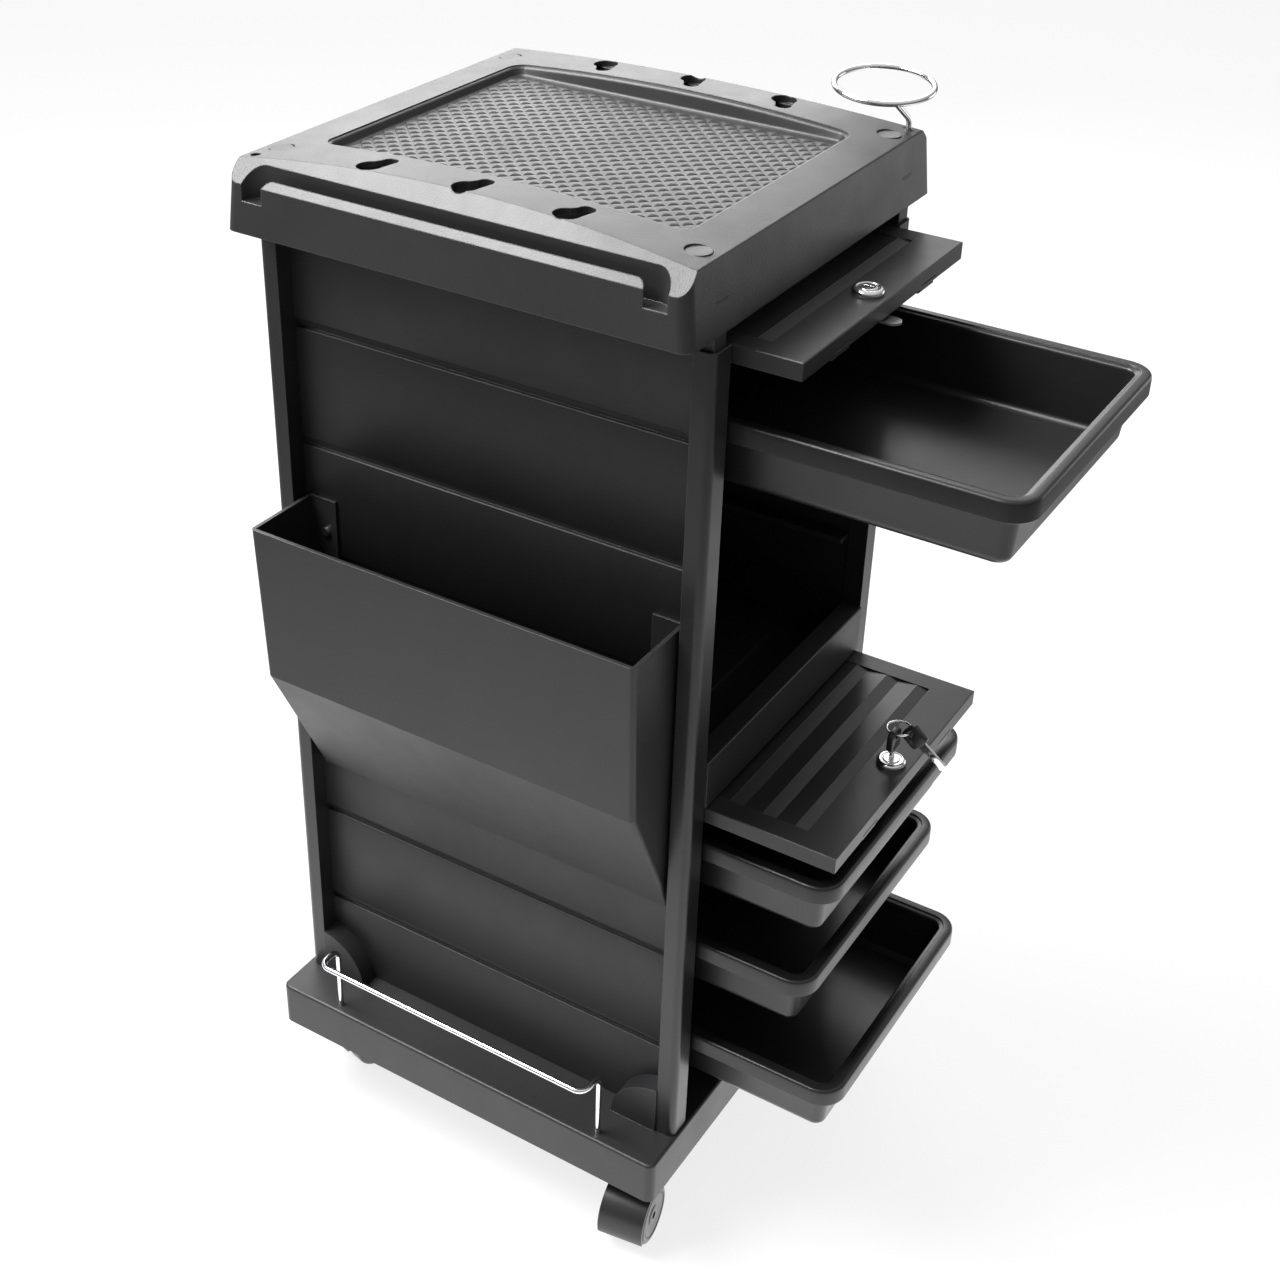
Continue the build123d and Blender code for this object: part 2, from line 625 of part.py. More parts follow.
# ---------------------------------------------------------------- doors
def door(side):
    """Flip-up door: hollow-backed plate with louvred slats, side hinge pins and two spring tabs."""
    top = DOOR_TOPS[side]
    front = DOOR_FRONTS[side]
    back = front + DOOR_LENGTH
    bottom = top - DOOR_THICKNESS
    plate = block(-DOOR_HALF_X, DOOR_HALF_X, front, back, bottom, top)
    plate = chamfer(plate.faces().sort_by(Axis.Z)[-1].edges(), 0.6)
    bays = [(front + 34, front + 122), (front + 126, front + 214), (front + 218, back - 14)]
    for near, far in bays:
        plate -= block(-DOOR_HALF_X + 4, DOOR_HALF_X - 4, near, far, bottom - 1, top - 4.4)
    plate -= prism_x(slat_outline(top, front), -SLAT_HALF_X, SLAT_HALF_X)
    for x in (-67.0, 67.0):
        tab = block(x - 11, x + 11, front + 0.8, front + 4.2, bottom - 4, bottom)
        plate += chamfer(tab.edges().filter_by(Axis.X).sort_by(Axis.Z)[0], 1.5)
        plate -= block(x - 12, x + 12, front - 1, front + 1.0, bottom + 2.2, bottom + 3.2)
    pin = Pos(0, back - HINGE_PIN_INSET, (top + bottom) / 2) * Rot(0, 90, 0)
    plate += pin * Cylinder(HINGE_PIN_RADIUS, 2 * HINGE_PIN_OUT_X) & hinge_ends(back, bottom, top)
    lock_y = front + LOCK_INSET
    return plate - column(0, lock_y, bottom - 6, top + 6, LOCK_BARREL_RADIUS + 0.05)


def hinge_ends(back, bottom, top):
    """The two zones beside the door where its hinge pins may stand out."""
    zones = both_sides(block(DOOR_HALF_X - 3, HINGE_PIN_OUT_X + 1, back - 20, back, bottom, top))
    return zones[0] + zones[1]


def slat_outline(top, front):
    """Zigzag section of the slats: sharp ridges just under the surface, creases between them."""
    points = [(front + SLAT_FIRST, top + 1)]
    for index in range(SLAT_COUNT):
        crease = front + SLAT_FIRST + index * SLAT_PITCH
        points.append((crease, top - SLAT_DEPTH))
        points.append((crease + SLAT_RISE, top - 0.2))
    last = front + SLAT_FIRST + SLAT_COUNT * SLAT_PITCH
    points.append((last, top - SLAT_DEPTH))
    points.append((last, top + 1))
    return points


def lock_place(side):
    """Where a lock stands: its y, and the door's top and bottom faces."""
    top = DOOR_TOPS[side]
    return DOOR_FRONTS[side] + LOCK_INSET, top, top - DOOR_THICKNESS


def lock_housing(side):
    y, top, bottom = lock_place(side)
    head = column(0, y, top, top + LOCK_HEAD_HEIGHT, LOCK_HEAD_RADIUS)
    head = fillet(head.faces().sort_by(Axis.Z)[-1].edges(), 2.6)
    barrel = column(0, y, bottom - 1.6, top, LOCK_BARREL_RADIUS)
    return head + barrel - column(0, y, bottom - 3, top + 8, PLUG_RADIUS + RUNNING)


def lock_nut(side):
    y, _, bottom = lock_place(side)
    hexagon = Pos(0, y, bottom - 1.5) * RegularPolygon(12.5, 6)
    return extrude(hexagon, amount=1.5) - column(0, y, bottom - 3, bottom + 1, LOCK_BARREL_RADIUS + 0.05)


def lock_plug(side, slot_angle):
    y, top, bottom = lock_place(side)
    plug = column(0, y, bottom - 1.9, top + LOCK_HEAD_HEIGHT + 0.3, PLUG_RADIUS)
    plug = fillet(plug.faces().sort_by(Axis.Z)[-1].edges(), 0.8)
    slot = Box(BLADE_WIDTH + 0.4, BLADE_THICKNESS + 0.4, 24)
    plug -= Pos(0, y, top - 5) * Rot(0, 0, slot_angle) * slot & column(0, y, top - 9, top + 9, PLUG_RADIUS)
    return plug - column(0, y, bottom - 3, bottom + 2.5, 1.6)


def lock_cam(side, angle):
    """Flat latch tongue on the end of the plug."""
    y, _, bottom = lock_place(side)
    under = bottom - 1.9
    tongue = block(0, CAM_LENGTH - 6, -6, 6, -1.8, 0) + column(CAM_LENGTH - 6, 0, -1.8, 0, 6)
    tongue += column(0, 0, -1.8, 0, 6.4)
    tongue -= column(0, 0, -3, 1, 1.7)
    return Pos(0, y, under) * Rot(0, 0, angle) * tongue


def cam_screw(side):
    y, _, bottom = lock_place(side)
    head = column(0, y, bottom - 5.9, bottom - 3.7, 3.6)
    slot = block(-4, 4, y - 0.5, y + 0.5, bottom - 6.5, bottom - 5.0)
    return head + column(0, y, bottom - 3.8, bottom + 2.3, 1.55) - slot


# ---------------------------------------------------------------- keys
def key_shape():
    """A key with its tip at the origin and its bow up +Z, flat in the XZ plane."""
    blade = Pos(0, 0, BLADE_LENGTH / 2) * Box(BLADE_WIDTH, BLADE_THICKNESS, BLADE_LENGTH + 2)
    bow_bottom = BLADE_LENGTH
    bow = Pos(0, 0, bow_bottom + BOW_LENGTH / 2) * Box(BOW_WIDTH, BOW_THICKNESS, BOW_LENGTH)
    bow = chamfer(bow.edges().filter_by(Axis.Y), 4.0)
    hole = Pos(0, 0, bow_bottom + BOW_LENGTH - KEY_HOLE_INSET) * Rot(90, 0, 0) * Cylinder(2.6, 20)
    return blade + bow - hole


def key_lift():
    """Height of the inserted key's tip: its bow stands KEY_NECK above the plug's face."""
    _, top, _ = lock_place("lower")
    return top + LOCK_HEAD_HEIGHT + 0.3 + KEY_NECK - BLADE_LENGTH


def key():
    y, top, _ = lock_place("lower")
    shape = Pos(0, y, key_lift()) * key_shape()
    return shape - block(-20, 20, y - 20, y + 20, 0, top - 8.8)


def key_hole_height():
    return key_lift() + BLADE_LENGTH + BOW_LENGTH - KEY_HOLE_INSET


def key_ring():
    """Small wire ring lying level through both keys' bows."""
    y, _, _ = lock_place("lower")
    return Pos(KEY_RING_RADIUS, y, key_hole_height()) * Torus(KEY_RING_RADIUS, KEY_RING_WIRE)


def spare_key():
    """Second key, hung from the ring and leaning out over the door's front edge."""
    y, _, _ = lock_place("lower")
    hole_up = BLADE_LENGTH + BOW_LENGTH - KEY_HOLE_INSET
    shape = Rot(0, 0, 90) * Pos(0, 0, -hole_up) * key_shape()
    shape = Rot(-(90 - SPARE_KEY_DROP), 0, 0) * shape
    return Pos(KEY_RING_RADIUS, y - KEY_RING_RADIUS, key_hole_height()) * shape


# ---------------------------------------------------------------- casters
def caster_frame(name):
    """Placement of a caster: stem on +Z through the origin, wheels trailing along +X."""
    x, y, heading = CASTERS[name]
    return Pos(x, y, 0) * Rot(0, 0, heading)


def lying(radius, length):
    """A cylinder along Y through the axle's place."""
    return Pos(CASTER_TRAIL, 0, WHEEL_RADIUS) * Rot(90, 0, 0) * Cylinder(radius, length)


def caster_stem():
    pin = column(0, 0, 46, BASE_TOP - 10, STEM_RADIUS)
    collar = column(0, 0, 68, BASE_BOTTOM - 0.4, 9)
    return pin + collar


def caster_hood():
    """Web between the wheels, a round fender over them and the boss that holds the stem."""
    half_width = WHEEL_GAP + WHEEL_WIDTH
    web = lying(20, 2 * WHEEL_GAP - 2)
    fender = lying(WHEEL_RADIUS + 3.2, 2 * half_width) - lying(WHEEL_RADIUS + 1.2, 2 * half_width + 2)
    fender &= block(-20, 60, -30, 30, WHEEL_RADIUS - 9, 60)
    fender -= block(CASTER_TRAIL - 60, CASTER_TRAIL - 4, -30, 30, 0, WHEEL_RADIUS + 12)
    rib = lying(WHEEL_RADIUS + 2.2, 2 * WHEEL_GAP - 2) & block(-20, 60, -30, 30, WHEEL_RADIUS - 6, 60)
    boss = column(0, 0, 40, 67.7, 10)
    boss += block(0, 12, -8, 8, 40, WHEEL_RADIUS + 24) - lying(WHEEL_RADIUS + 1.2, 60)
    boss -= lying(WHEEL_RADIUS + 1.2, 2 * half_width + 4) - block(-60, 60, -WHEEL_GAP + 1, WHEEL_GAP - 1, 0, 90)
    hood = web + rib + fender + boss
    hood -= column(0, 0, 45.5, 70, STEM_RADIUS)
    return hood - lying(AXLE_RADIUS + RUNNING, 80)


def caster_axle():
    return lying(AXLE_RADIUS, 2 * (WHEEL_GAP + WHEEL_WIDTH) - 5)


def caster_wheels():
    """Two wheels with sunk flanks and a hub on the axle."""
    wheels = []
    for side in (-1, 1):
        middle = side * (WHEEL_GAP + WHEEL_WIDTH / 2)
        disc = Pos(0, middle, 0) * lying(WHEEL_RADIUS, WHEEL_WIDTH)
        disc = fillet(disc.edges().filter_by(GeomType.CIRCLE), 2.5)
        flank = middle + side * WHEEL_WIDTH / 2
        sink = Pos(0, flank, 0) * lying(17, 3) - Pos(0, flank, 0) * lying(7, 4)
        disc -= sink
        bore_middle = middle - side * 2.2
        disc -= Pos(0, bore_middle, 0) * lying(AXLE_RADIUS + RUNNING, WHEEL_WIDTH)
        wheels.append(disc)
    return wheels


# ---------------------------------------------------------------- everything in its place
nodes = {
    "base_plate": base_plate(),
    "post_front_left": post(-1, -1),
    "post_front_right": post(1, -1),
    "post_rear_left": post(-1, 1),
    "post_rear_right": post(1, 1),
    "side_panel_left": side_panel(-1),
    "side_panel_right": side_panel(1),
    "rear_panel": rear_panel(),
    "rear_cleats": rear_cleats(),
    "frame_screws": frame_screws(),
    "drawer_runners": drawer_runners(),
    "door_tracks": door_tracks(),
    "corner_blocks": corner_blocks(),
    "sill_rail": sill_rail(),
    "mid_shelf": mid_shelf(),
    "magazine_pocket": magazine_pocket(),
    "pocket_screws": pocket_screws(),
    "base_rail": base_rail(),
    "caster_sleeves": caster_sleeves(),
    "tray_top": tray_top(),
    "tray_screws": tray_screws(),
    "screw_covers": screw_covers(),
    "ring_bush": ring_bush(),
    "dryer_ring": dryer_ring(),
}
for drawer_name in DRAWER_GROOVES:
    nodes[drawer_name] = drawer(drawer_name)

# The upper lock is turned to its locked place, tongue forwards; the lower one is unlocked, tongue aside.
for side, cam_angle in (("upper", -90.0), ("lower", 0.0)):
    nodes[side + "_door"] = door(side)
    nodes[side + "_lock_housing"] = lock_housing(side)
    nodes[side + "_lock_nut"] = lock_nut(side)
    nodes[side + "_lock_plug"] = lock_plug(side, cam_angle)
    nodes[side + "_lock_cam"] = lock_cam(side, cam_angle)
    nodes[side + "_cam_screw"] = cam_screw(side)
nodes["key"] = key()
nodes["key_ring"] = key_ring()
nodes["spare_key"] = spare_key()

for name in CASTERS:
    place = caster_frame(name)
    nodes["caster_stem_" + name] = place * caster_stem()
    nodes["caster_hood_" + name] = place * caster_hood()
    nodes["caster_axle_" + name] = place * caster_axle()
    nodes["caster_wheels_" + name] = as_group([place * wheel for wheel in caster_wheels()])

# ---------------------------------------------------------------- origin and export
boxes = [shape.bounding_box() for shape in nodes.values()]
origin_x = (min(box.min.X for box in boxes) + max(box.max.X for box in boxes)) / 2
origin_y = (min(box.min.Y for box in boxes) + max(box.max.Y for box in boxes)) / 2
os.makedirs("parts", exist_ok=True)
for name, shape in nodes.items():
    placed = Pos(-origin_x, -origin_y, 0) * shape
    export_step(placed, f"parts/{name}.step")
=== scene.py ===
import json
import math

import bmesh
import bpy
from mathutils import Matrix, Vector


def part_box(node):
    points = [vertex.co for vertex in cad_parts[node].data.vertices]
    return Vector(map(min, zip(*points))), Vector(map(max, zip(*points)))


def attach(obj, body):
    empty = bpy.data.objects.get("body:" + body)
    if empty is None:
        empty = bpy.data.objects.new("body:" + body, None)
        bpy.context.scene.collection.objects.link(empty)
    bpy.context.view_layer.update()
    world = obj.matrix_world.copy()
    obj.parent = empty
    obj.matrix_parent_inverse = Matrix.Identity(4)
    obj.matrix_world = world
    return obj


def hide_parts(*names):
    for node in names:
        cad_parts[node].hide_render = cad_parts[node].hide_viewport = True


# Looks of the rolling salon trolley. The builders below work in millimetres about the cabinet's centre line,
# and at() and as_piece() turn them into the frame's metres.

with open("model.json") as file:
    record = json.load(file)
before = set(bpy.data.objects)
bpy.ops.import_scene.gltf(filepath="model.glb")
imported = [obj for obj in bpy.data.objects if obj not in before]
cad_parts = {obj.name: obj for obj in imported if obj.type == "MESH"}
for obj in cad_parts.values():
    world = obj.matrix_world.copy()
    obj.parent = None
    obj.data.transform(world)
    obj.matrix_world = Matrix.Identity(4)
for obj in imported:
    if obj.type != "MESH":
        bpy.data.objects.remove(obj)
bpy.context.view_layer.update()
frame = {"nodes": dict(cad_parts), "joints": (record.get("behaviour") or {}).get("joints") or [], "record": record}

# ---------------------------------------------------------------- where things are
BASE_LOW, BASE_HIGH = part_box("base_plate")
CABINET_X = (BASE_LOW.x + BASE_HIGH.x) / 2
BASE_SET_BACK = 0.001
CABINET_Y = (BASE_LOW.y + BASE_HIGH.y) / 2 - BASE_SET_BACK


def at(x, y, z):
    """A point given in cabinet millimetres, in the frame's metres."""
    return Vector((CABINET_X + x / 1000, CABINET_Y + y / 1000, z / 1000))


def box_mm(node):
    """Low and high corners of a CAD node in cabinet millimetres."""
    low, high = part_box(node)
    shift = Vector((CABINET_X, CABINET_Y, 0))
    return (low - shift) * 1000, (high - shift) * 1000


# ---------------------------------------------------------------- mesh helpers
def as_piece(name, bm, body, material, replaced=(), sharp=35.0, smooth=True):
    """Turns a bmesh in cabinet millimetres into a piece that rides on a body."""
    bmesh.ops.remove_doubles(bm, verts=bm.verts, dist=0.001)
    bmesh.ops.recalc_face_normals(bm, faces=bm.faces)
    to_frame = Matrix.Translation((CABINET_X, CABINET_Y, 0)) @ Matrix.Scale(0.001, 4)
    bmesh.ops.transform(bm, matrix=to_frame, verts=bm.verts)
    mesh = bpy.data.meshes.new(name)
    bm.to_mesh(mesh)
    bm.free()
    if smooth:
        mesh.shade_smooth()
        mesh.set_sharp_from_angle(angle=math.radians(sharp))
    piece = bpy.data.objects.new(name, mesh)
    bpy.context.scene.collection.objects.link(piece)
    mesh.materials.append(material)
    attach(piece, body)
    if replaced:
        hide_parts(*replaced)
    return piece


def arc(cx, cz, radius, start, end, steps):
    """Points on an arc, angles in degrees."""
    angles = [math.radians(start + (end - start) * i / steps) for i in range(steps + 1)]
    return [(cx + radius * math.cos(angle), cz + radius * math.sin(angle)) for angle in angles]


def rounded_loop(half_x, y0, y1, radius, steps=10):
    """A rounded rectangle's points, anticlockwise from the right front corner."""
    loop = []
    for cx, cy, start in ((half_x - radius, y0 + radius, -90), (half_x - radius, y1 - radius, 0),
                          (-half_x + radius, y1 - radius, 90), (-half_x + radius, y0 + radius, 180)):
        loop += arc(cx, cy, radius, start, start + 90, steps)
    return loop


def skin_loops(bm, loops, cap_first=True, cap_last=True):
    """Joins equal-length loops of 3-D points with quads."""
    rows = [[bm.verts.new(point) for point in loop] for loop in loops]
    count = len(rows[0])
    for low, high in zip(rows, rows[1:]):
        for i in range(count):
            j = (i + 1) % count
            bm.faces.new((low[i], low[j], high[j], high[i]))
    if cap_first:
        bm.faces.new(rows[0])
    if cap_last:
        bm.faces.new(rows[-1])
    return rows


def lathe(bm, profile, origin, steps=64):
    """Turns a profile of (radius, height) points about an upright axis through origin."""
    rows = []
    for i in range(steps):
        angle = 2 * math.pi * i / steps
        row = []
        for radius, height in profile:
            offset = Vector((radius * math.cos(angle), radius * math.sin(angle), height))
            row.append(bm.verts.new(Vector(origin) + offset))
        rows.append(row)
    for i in range(steps):
        one, two = rows[i], rows[(i + 1) % steps]
        for k in range(len(profile) - 1):
            bm.faces.new((one[k], two[k], two[k + 1], one[k + 1]))


BEND_STEPS = 12


def bent_path(points, bend):
    """The points of a rigid wire's run, with its corners bent to a radius."""
    path = [Vector(point) for point in points]
    rounded = [path[0]]
    for before, corner, after in zip(path, path[1:], path[2:]):
        to_before = (before - corner).normalized()
        to_after = (after - corner).normalized()
        half = to_before.angle(to_after) / 2
        cut = bend / math.tan(half)
        centre = corner + (to_before + to_after).normalized() * (bend / math.sin(half))
        first, last = corner + to_before * cut - centre, corner + to_after * cut - centre
        turn = first.angle(last)
        axis = first.cross(last).normalized()
        for i in range(BEND_STEPS + 1):
            rounded.append(centre + Matrix.Rotation(turn * i / BEND_STEPS, 3, axis) @ first)
    return rounded + [path[-1]]


def tube(bm, path, radius, cyclic=False, steps=20):
    """Skins a round tube along points, keeping its section from twisting."""
    count = len(path)
    tangents = []
    for i in range(count):
        before = path[i - 1] if cyclic or i else path[i]
        after = path[(i + 1) % count] if cyclic or i < count - 1 else path[i]
        tangents.append((after - before).normalized())
    side = tangents[0].orthogonal().normalized()
    loops = []
    for i in range(count):
        side = (side - tangents[i] * side.dot(tangents[i])).normalized()
        other = tangents[i].cross(side)
        loops.append([path[i] + side * (radius * math.cos(2 * math.pi * k / steps))
                      + other * (radius * math.sin(2 * math.pi * k / steps)) for k in range(steps)])
    rows = skin_loops(bm, loops, not cyclic, not cyclic)
    if cyclic:
        first, last = rows[0], rows[-1]
        shift = min(range(steps), key=lambda s: (first[s].co - last[0].co).length)
        for k in range(steps):
            a, b = last[k], last[(k + 1) % steps]
            c, d = first[(k + 1 + shift) % steps], first[(k + shift) % steps]
            bm.faces.new((a, b, c, d))


# ---------------------------------------------------------------- materials
def new_material(name):
    """A fresh material with its node tree and its Principled shader."""
    material = bpy.data.materials.new(name)
    material.use_nodes = True
    tree = material.node_tree
    return material, tree, tree.nodes["Principled BSDF"]


def add_noise(tree, coord, scale, detail=3.0, rough=0.55):
    noise = tree.nodes.new("ShaderNodeTexNoise")
    noise.inputs["Scale"].default_value = scale
    noise.inputs["Detail"].default_value = detail
    noise.inputs["Roughness"].default_value = rough
    tree.links.new(coord, noise.inputs["Vector"])
    return noise.outputs["Fac"]


def add_map(tree, value, from_low, from_high, to_low, to_high):
    ramp = tree.nodes.new("ShaderNodeMapRange")
    ramp.inputs["From Min"].default_value = from_low
    ramp.inputs["From Max"].default_value = from_high
    ramp.inputs["To Min"].default_value = to_low
    ramp.inputs["To Max"].default_value = to_high
    tree.links.new(value, ramp.inputs["Value"])
    return ramp.outputs["Result"]


def add_math(tree, operation, one, two):
    node = tree.nodes.new("ShaderNodeMath")
    node.operation = operation
    for socket, value in zip(node.inputs, (one, two)):
        if isinstance(value, float):
            socket.default_value = value
        else:
            tree.links.new(value, socket)
    return node.outputs[0]


def add_mix(tree, factor, one, two):
    node = tree.nodes.new("ShaderNodeMix")
    node.data_type = "RGBA"
    tree.links.new(factor, node.inputs["Factor"])
    for socket, value in ((node.inputs[6], one), (node.inputs[7], two)):
        if isinstance(value, tuple):
            socket.default_value = (*value, 1.0)
        else:
            tree.links.new(value, socket)
    return node.outputs[2]


def edge_rounding(tree, radius):
    """A rounded shading normal, and how strongly the surface turns there."""
    bevel = tree.nodes.new("ShaderNodeBevel")
    bevel.samples = 4
    bevel.inputs["Radius"].default_value = radius
    geometry = tree.nodes.new("ShaderNodeNewGeometry")
    dot = tree.nodes.new("ShaderNodeVectorMath")
    dot.operation = "DOT_PRODUCT"
    tree.links.new(bevel.outputs["Normal"], dot.inputs[0])
    tree.links.new(geometry.outputs["Normal"], dot.inputs[1])
    edge = add_map(tree, dot.outputs["Value"], 1.0, 0.86, 0.0, 1.0)
    return bevel.outputs["Normal"], edge


def plastic(name, base, roughness, grain_scale, grain_depth, edge_radius=0.0008, edge_wear_and_highlight=0.06, coat=0.0,
            shine=0.5):
    """Moulded black plastic: spark-eroded grain, slow colour and gloss drift, and edges lightened partly as rubbed
    wear and partly as a painted highlight.
    """
    material, tree, shader = new_material(name)
    coord = tree.nodes.new("ShaderNodeTexCoord").outputs["Object"]
    normal, edge = edge_rounding(tree, edge_radius)
    drift = add_noise(tree, coord, 7.0, 4.0)
    fine = add_noise(tree, coord, grain_scale, 2.5, 0.6)
    cells = tree.nodes.new("ShaderNodeTexVoronoi")
    cells.inputs["Scale"].default_value = grain_scale * 0.62
    tree.links.new(coord, cells.inputs["Vector"])
    smudge = add_noise(tree, coord, 38.0, 5.0, 0.7)
    light = tuple(channel * 1.45 for channel in base)
    body = add_mix(tree, drift, base, light)
    # Painted highlight: the edge mask lightens the base colour, partly as rubbed wear and partly in place of edge
    # highlights.
    wear_and_highlight_mask = add_math(tree, "MULTIPLY", edge, add_map(tree, smudge, 0.35, 0.7, 0.25, 1.0))
    tone = add_mix(tree, wear_and_highlight_mask, body, tuple(channel + edge_wear_and_highlight for channel in base))
    tree.links.new(tone, shader.inputs["Base Color"])
    rough = add_map(tree, drift, 0.3, 0.7, roughness - 0.035, roughness + 0.045)
    rough = add_math(tree, "ADD", rough, add_map(tree, smudge, 0.3, 0.75, -0.02, 0.04))
    rough = add_math(tree, "SUBTRACT", rough, add_math(tree, "MULTIPLY", wear_and_highlight_mask, 0.10))
    tree.links.new(rough, shader.inputs["Roughness"])
    height = add_math(tree, "ADD", fine, add_math(tree, "MULTIPLY", cells.outputs["Distance"], 0.8))
    bump = tree.nodes.new("ShaderNodeBump")
    bump.inputs["Strength"].default_value = 1.0
    bump.inputs["Distance"].default_value = grain_depth
    tree.links.new(height, bump.inputs["Height"])
    tree.links.new(normal, bump.inputs["Normal"])
    tree.links.new(bump.outputs["Normal"], shader.inputs["Normal"])
    shader.inputs["IOR"].default_value = 1.5
    shader.inputs["Specular IOR Level"].default_value = shine
    shader.inputs["Coat Weight"].default_value = coat
    shader.inputs["Coat Roughness"].default_value = 0.16
    return material


def metal(name, base, roughness, brush_scale, brush_depth, edge_radius=0.0004):
    """Plated or turned metal with faint drawing lines, clouded gloss and a painted highlight that lightens the
    edges.
    """
    material, tree, shader = new_material(name)
    coord = tree.nodes.new("ShaderNodeTexCoord").outputs["Object"]
    stretch = tree.nodes.new("ShaderNodeMapping")
    stretch.inputs["Scale"].default_value = (1.0, 1.0, 6.0)
    tree.links.new(coord, stretch.inputs["Vector"])
    lines = add_noise(tree, stretch.outputs["Vector"], brush_scale, 4.0, 0.6)
    cloud = add_noise(tree, coord, 55.0, 4.0, 0.6)
    normal, edge = edge_rounding(tree, edge_radius)
    dull = tuple(channel * 0.86 for channel in base)
    tone = add_mix(tree, cloud, dull, base)
    # Painted highlight: the base colour is lightened along edges.
    tone = add_mix(tree, edge, tone, tuple(min(1.0, channel * 1.12) for channel in base))
    tree.links.new(tone, shader.inputs["Base Color"])
    rough = add_map(tree, cloud, 0.3, 0.7, roughness * 0.75, roughness * 1.35)
    tree.links.new(rough, shader.inputs["Roughness"])
    bump = tree.nodes.new("ShaderNodeBump")
    bump.inputs["Strength"].default_value = 0.6
    bump.inputs["Distance"].default_value = brush_depth
    tree.links.new(lines, bump.inputs["Height"])
    tree.links.new(normal, bump.inputs["Normal"])
    tree.links.new(bump.outputs["Normal"], shader.inputs["Normal"])
    shader.inputs["Metallic"].default_value = 1.0
    return material


SHELL = plastic("shell_abs", (0.0125, 0.0125, 0.0135), 0.43, 1500.0, 0.00007)
TRAY = plastic("tray_abs", (0.0150, 0.0150, 0.0160), 0.40, 1300.0, 0.00008, edge_radius=0.0012)
DRAWER = plastic("drawer_plastic", (0.0070, 0.0070, 0.0075), 0.34, 900.0, 0.00002,
                 edge_radius=0.0006, coat=0.05)
# The doors' edges get a stronger painted edge highlight, mixed with rubbed wear.
DOOR = plastic("door_abs", (0.0100, 0.0100, 0.0108), 0.38, 1300.0, 0.00004,
               edge_radius=0.0006, edge_wear_and_highlight=0.10)
PANEL = plastic("panel_abs", (0.0095, 0.0095, 0.0102), 0.45, 1500.0, 0.00007, shine=0.36)
POST = plastic("post_abs", (0.0100, 0.0100, 0.0108), 0.33, 1500.0, 0.00004, edge_radius=0.0010)
CASTER = plastic("caster_nylon", (0.0120, 0.0120, 0.0125), 0.38, 1200.0, 0.00004, edge_radius=0.0008)
KEY_BOW = plastic("key_bow_plastic", (0.0100, 0.0100, 0.0105), 0.32, 1600.0, 0.00003, edge_radius=0.0006)
CHROME = metal("chrome_wire", (0.86, 0.86, 0.88), 0.09, 260.0, 0.00001)
LOCK_CHROME = metal("lock_chrome", (0.84, 0.84, 0.85), 0.12, 500.0, 0.00002)
STEEL = metal("zinc_steel", (0.62, 0.61, 0.60), 0.27, 700.0, 0.00003)

SLOT_MATERIALS = {
    "cabinet_shell": SHELL, "tray_plastic": TRAY, "drawer_plastic": DRAWER, "door_plastic": DOOR,
    "chrome_wire": CHROME, "lock_chrome": LOCK_CHROME, "steel_fixings": STEEL, "key_plastic": KEY_BOW,
    "key_ring_steel": CHROME, "caster_steel": STEEL, "caster_plastic": CASTER,
}
node_slots = {part["node"]: part["material_slot"] for part in frame["record"]["subparts"]}
for node, obj in frame["nodes"].items():
    material = SLOT_MATERIALS[node_slots[node]]
    if node.startswith("post_"):
        material = POST
    elif node.startswith("side_panel") or node == "rear_panel":
        material = PANEL
    if obj.material_slots:
        for slot in obj.material_slots:
            slot.material = material
    else:
        obj.data.materials.append(material)


# ---------------------------------------------------------------- side panels
GROOVE_LEVELS = (188.0, 284.0, 380.0, 535.0, 631.0, 727.0)
GROOVE_DEPTH = 3.1
LIP_RADIUS = 1.1
LIP_STEPS = 6


def panel_section(out, back, bottom, top, side):
    """Outline of a side panel in XZ: a deep groove over a rounded lip at each runner level."""
    points = [(back, bottom), (out, bottom)]
    for z in GROOVE_LEVELS:
        lip = arc(-LIP_RADIUS, z - 3.1, LIP_RADIUS, 0, 90, LIP_STEPS)
        points += [(out + side * inward, height) for inward, height in lip]
        points += [(out - side * GROOVE_DEPTH, z - 1.8), (out - side * GROOVE_DEPTH, z + 4.5),
                   (out - side * 0.4, z + 5.0), (out, z + 5.5)]
    return points + [(out, top), (back, top)]


def build_side_panel(node, side):
    """A side panel, drawn as one section from front to back."""
    low, high = box_mm(node)
    out, back = (low.x, high.x) if side < 0 else (high.x, low.x)
    section = panel_section(out, back, low.z, high.z, side)
    bm = bmesh.new()
    skin_loops(bm, [[(x, y, z) for x, z in section] for y in (low.y, high.y)])
    return as_piece(node + "_moulding", bm, "cabinet", PANEL, (node,), sharp=40)


build_side_panel("side_panel_left", -1)
build_side_panel("side_panel_right", 1)


# ---------------------------------------------------------------- drawers
RIM_RADIUS = 21.0


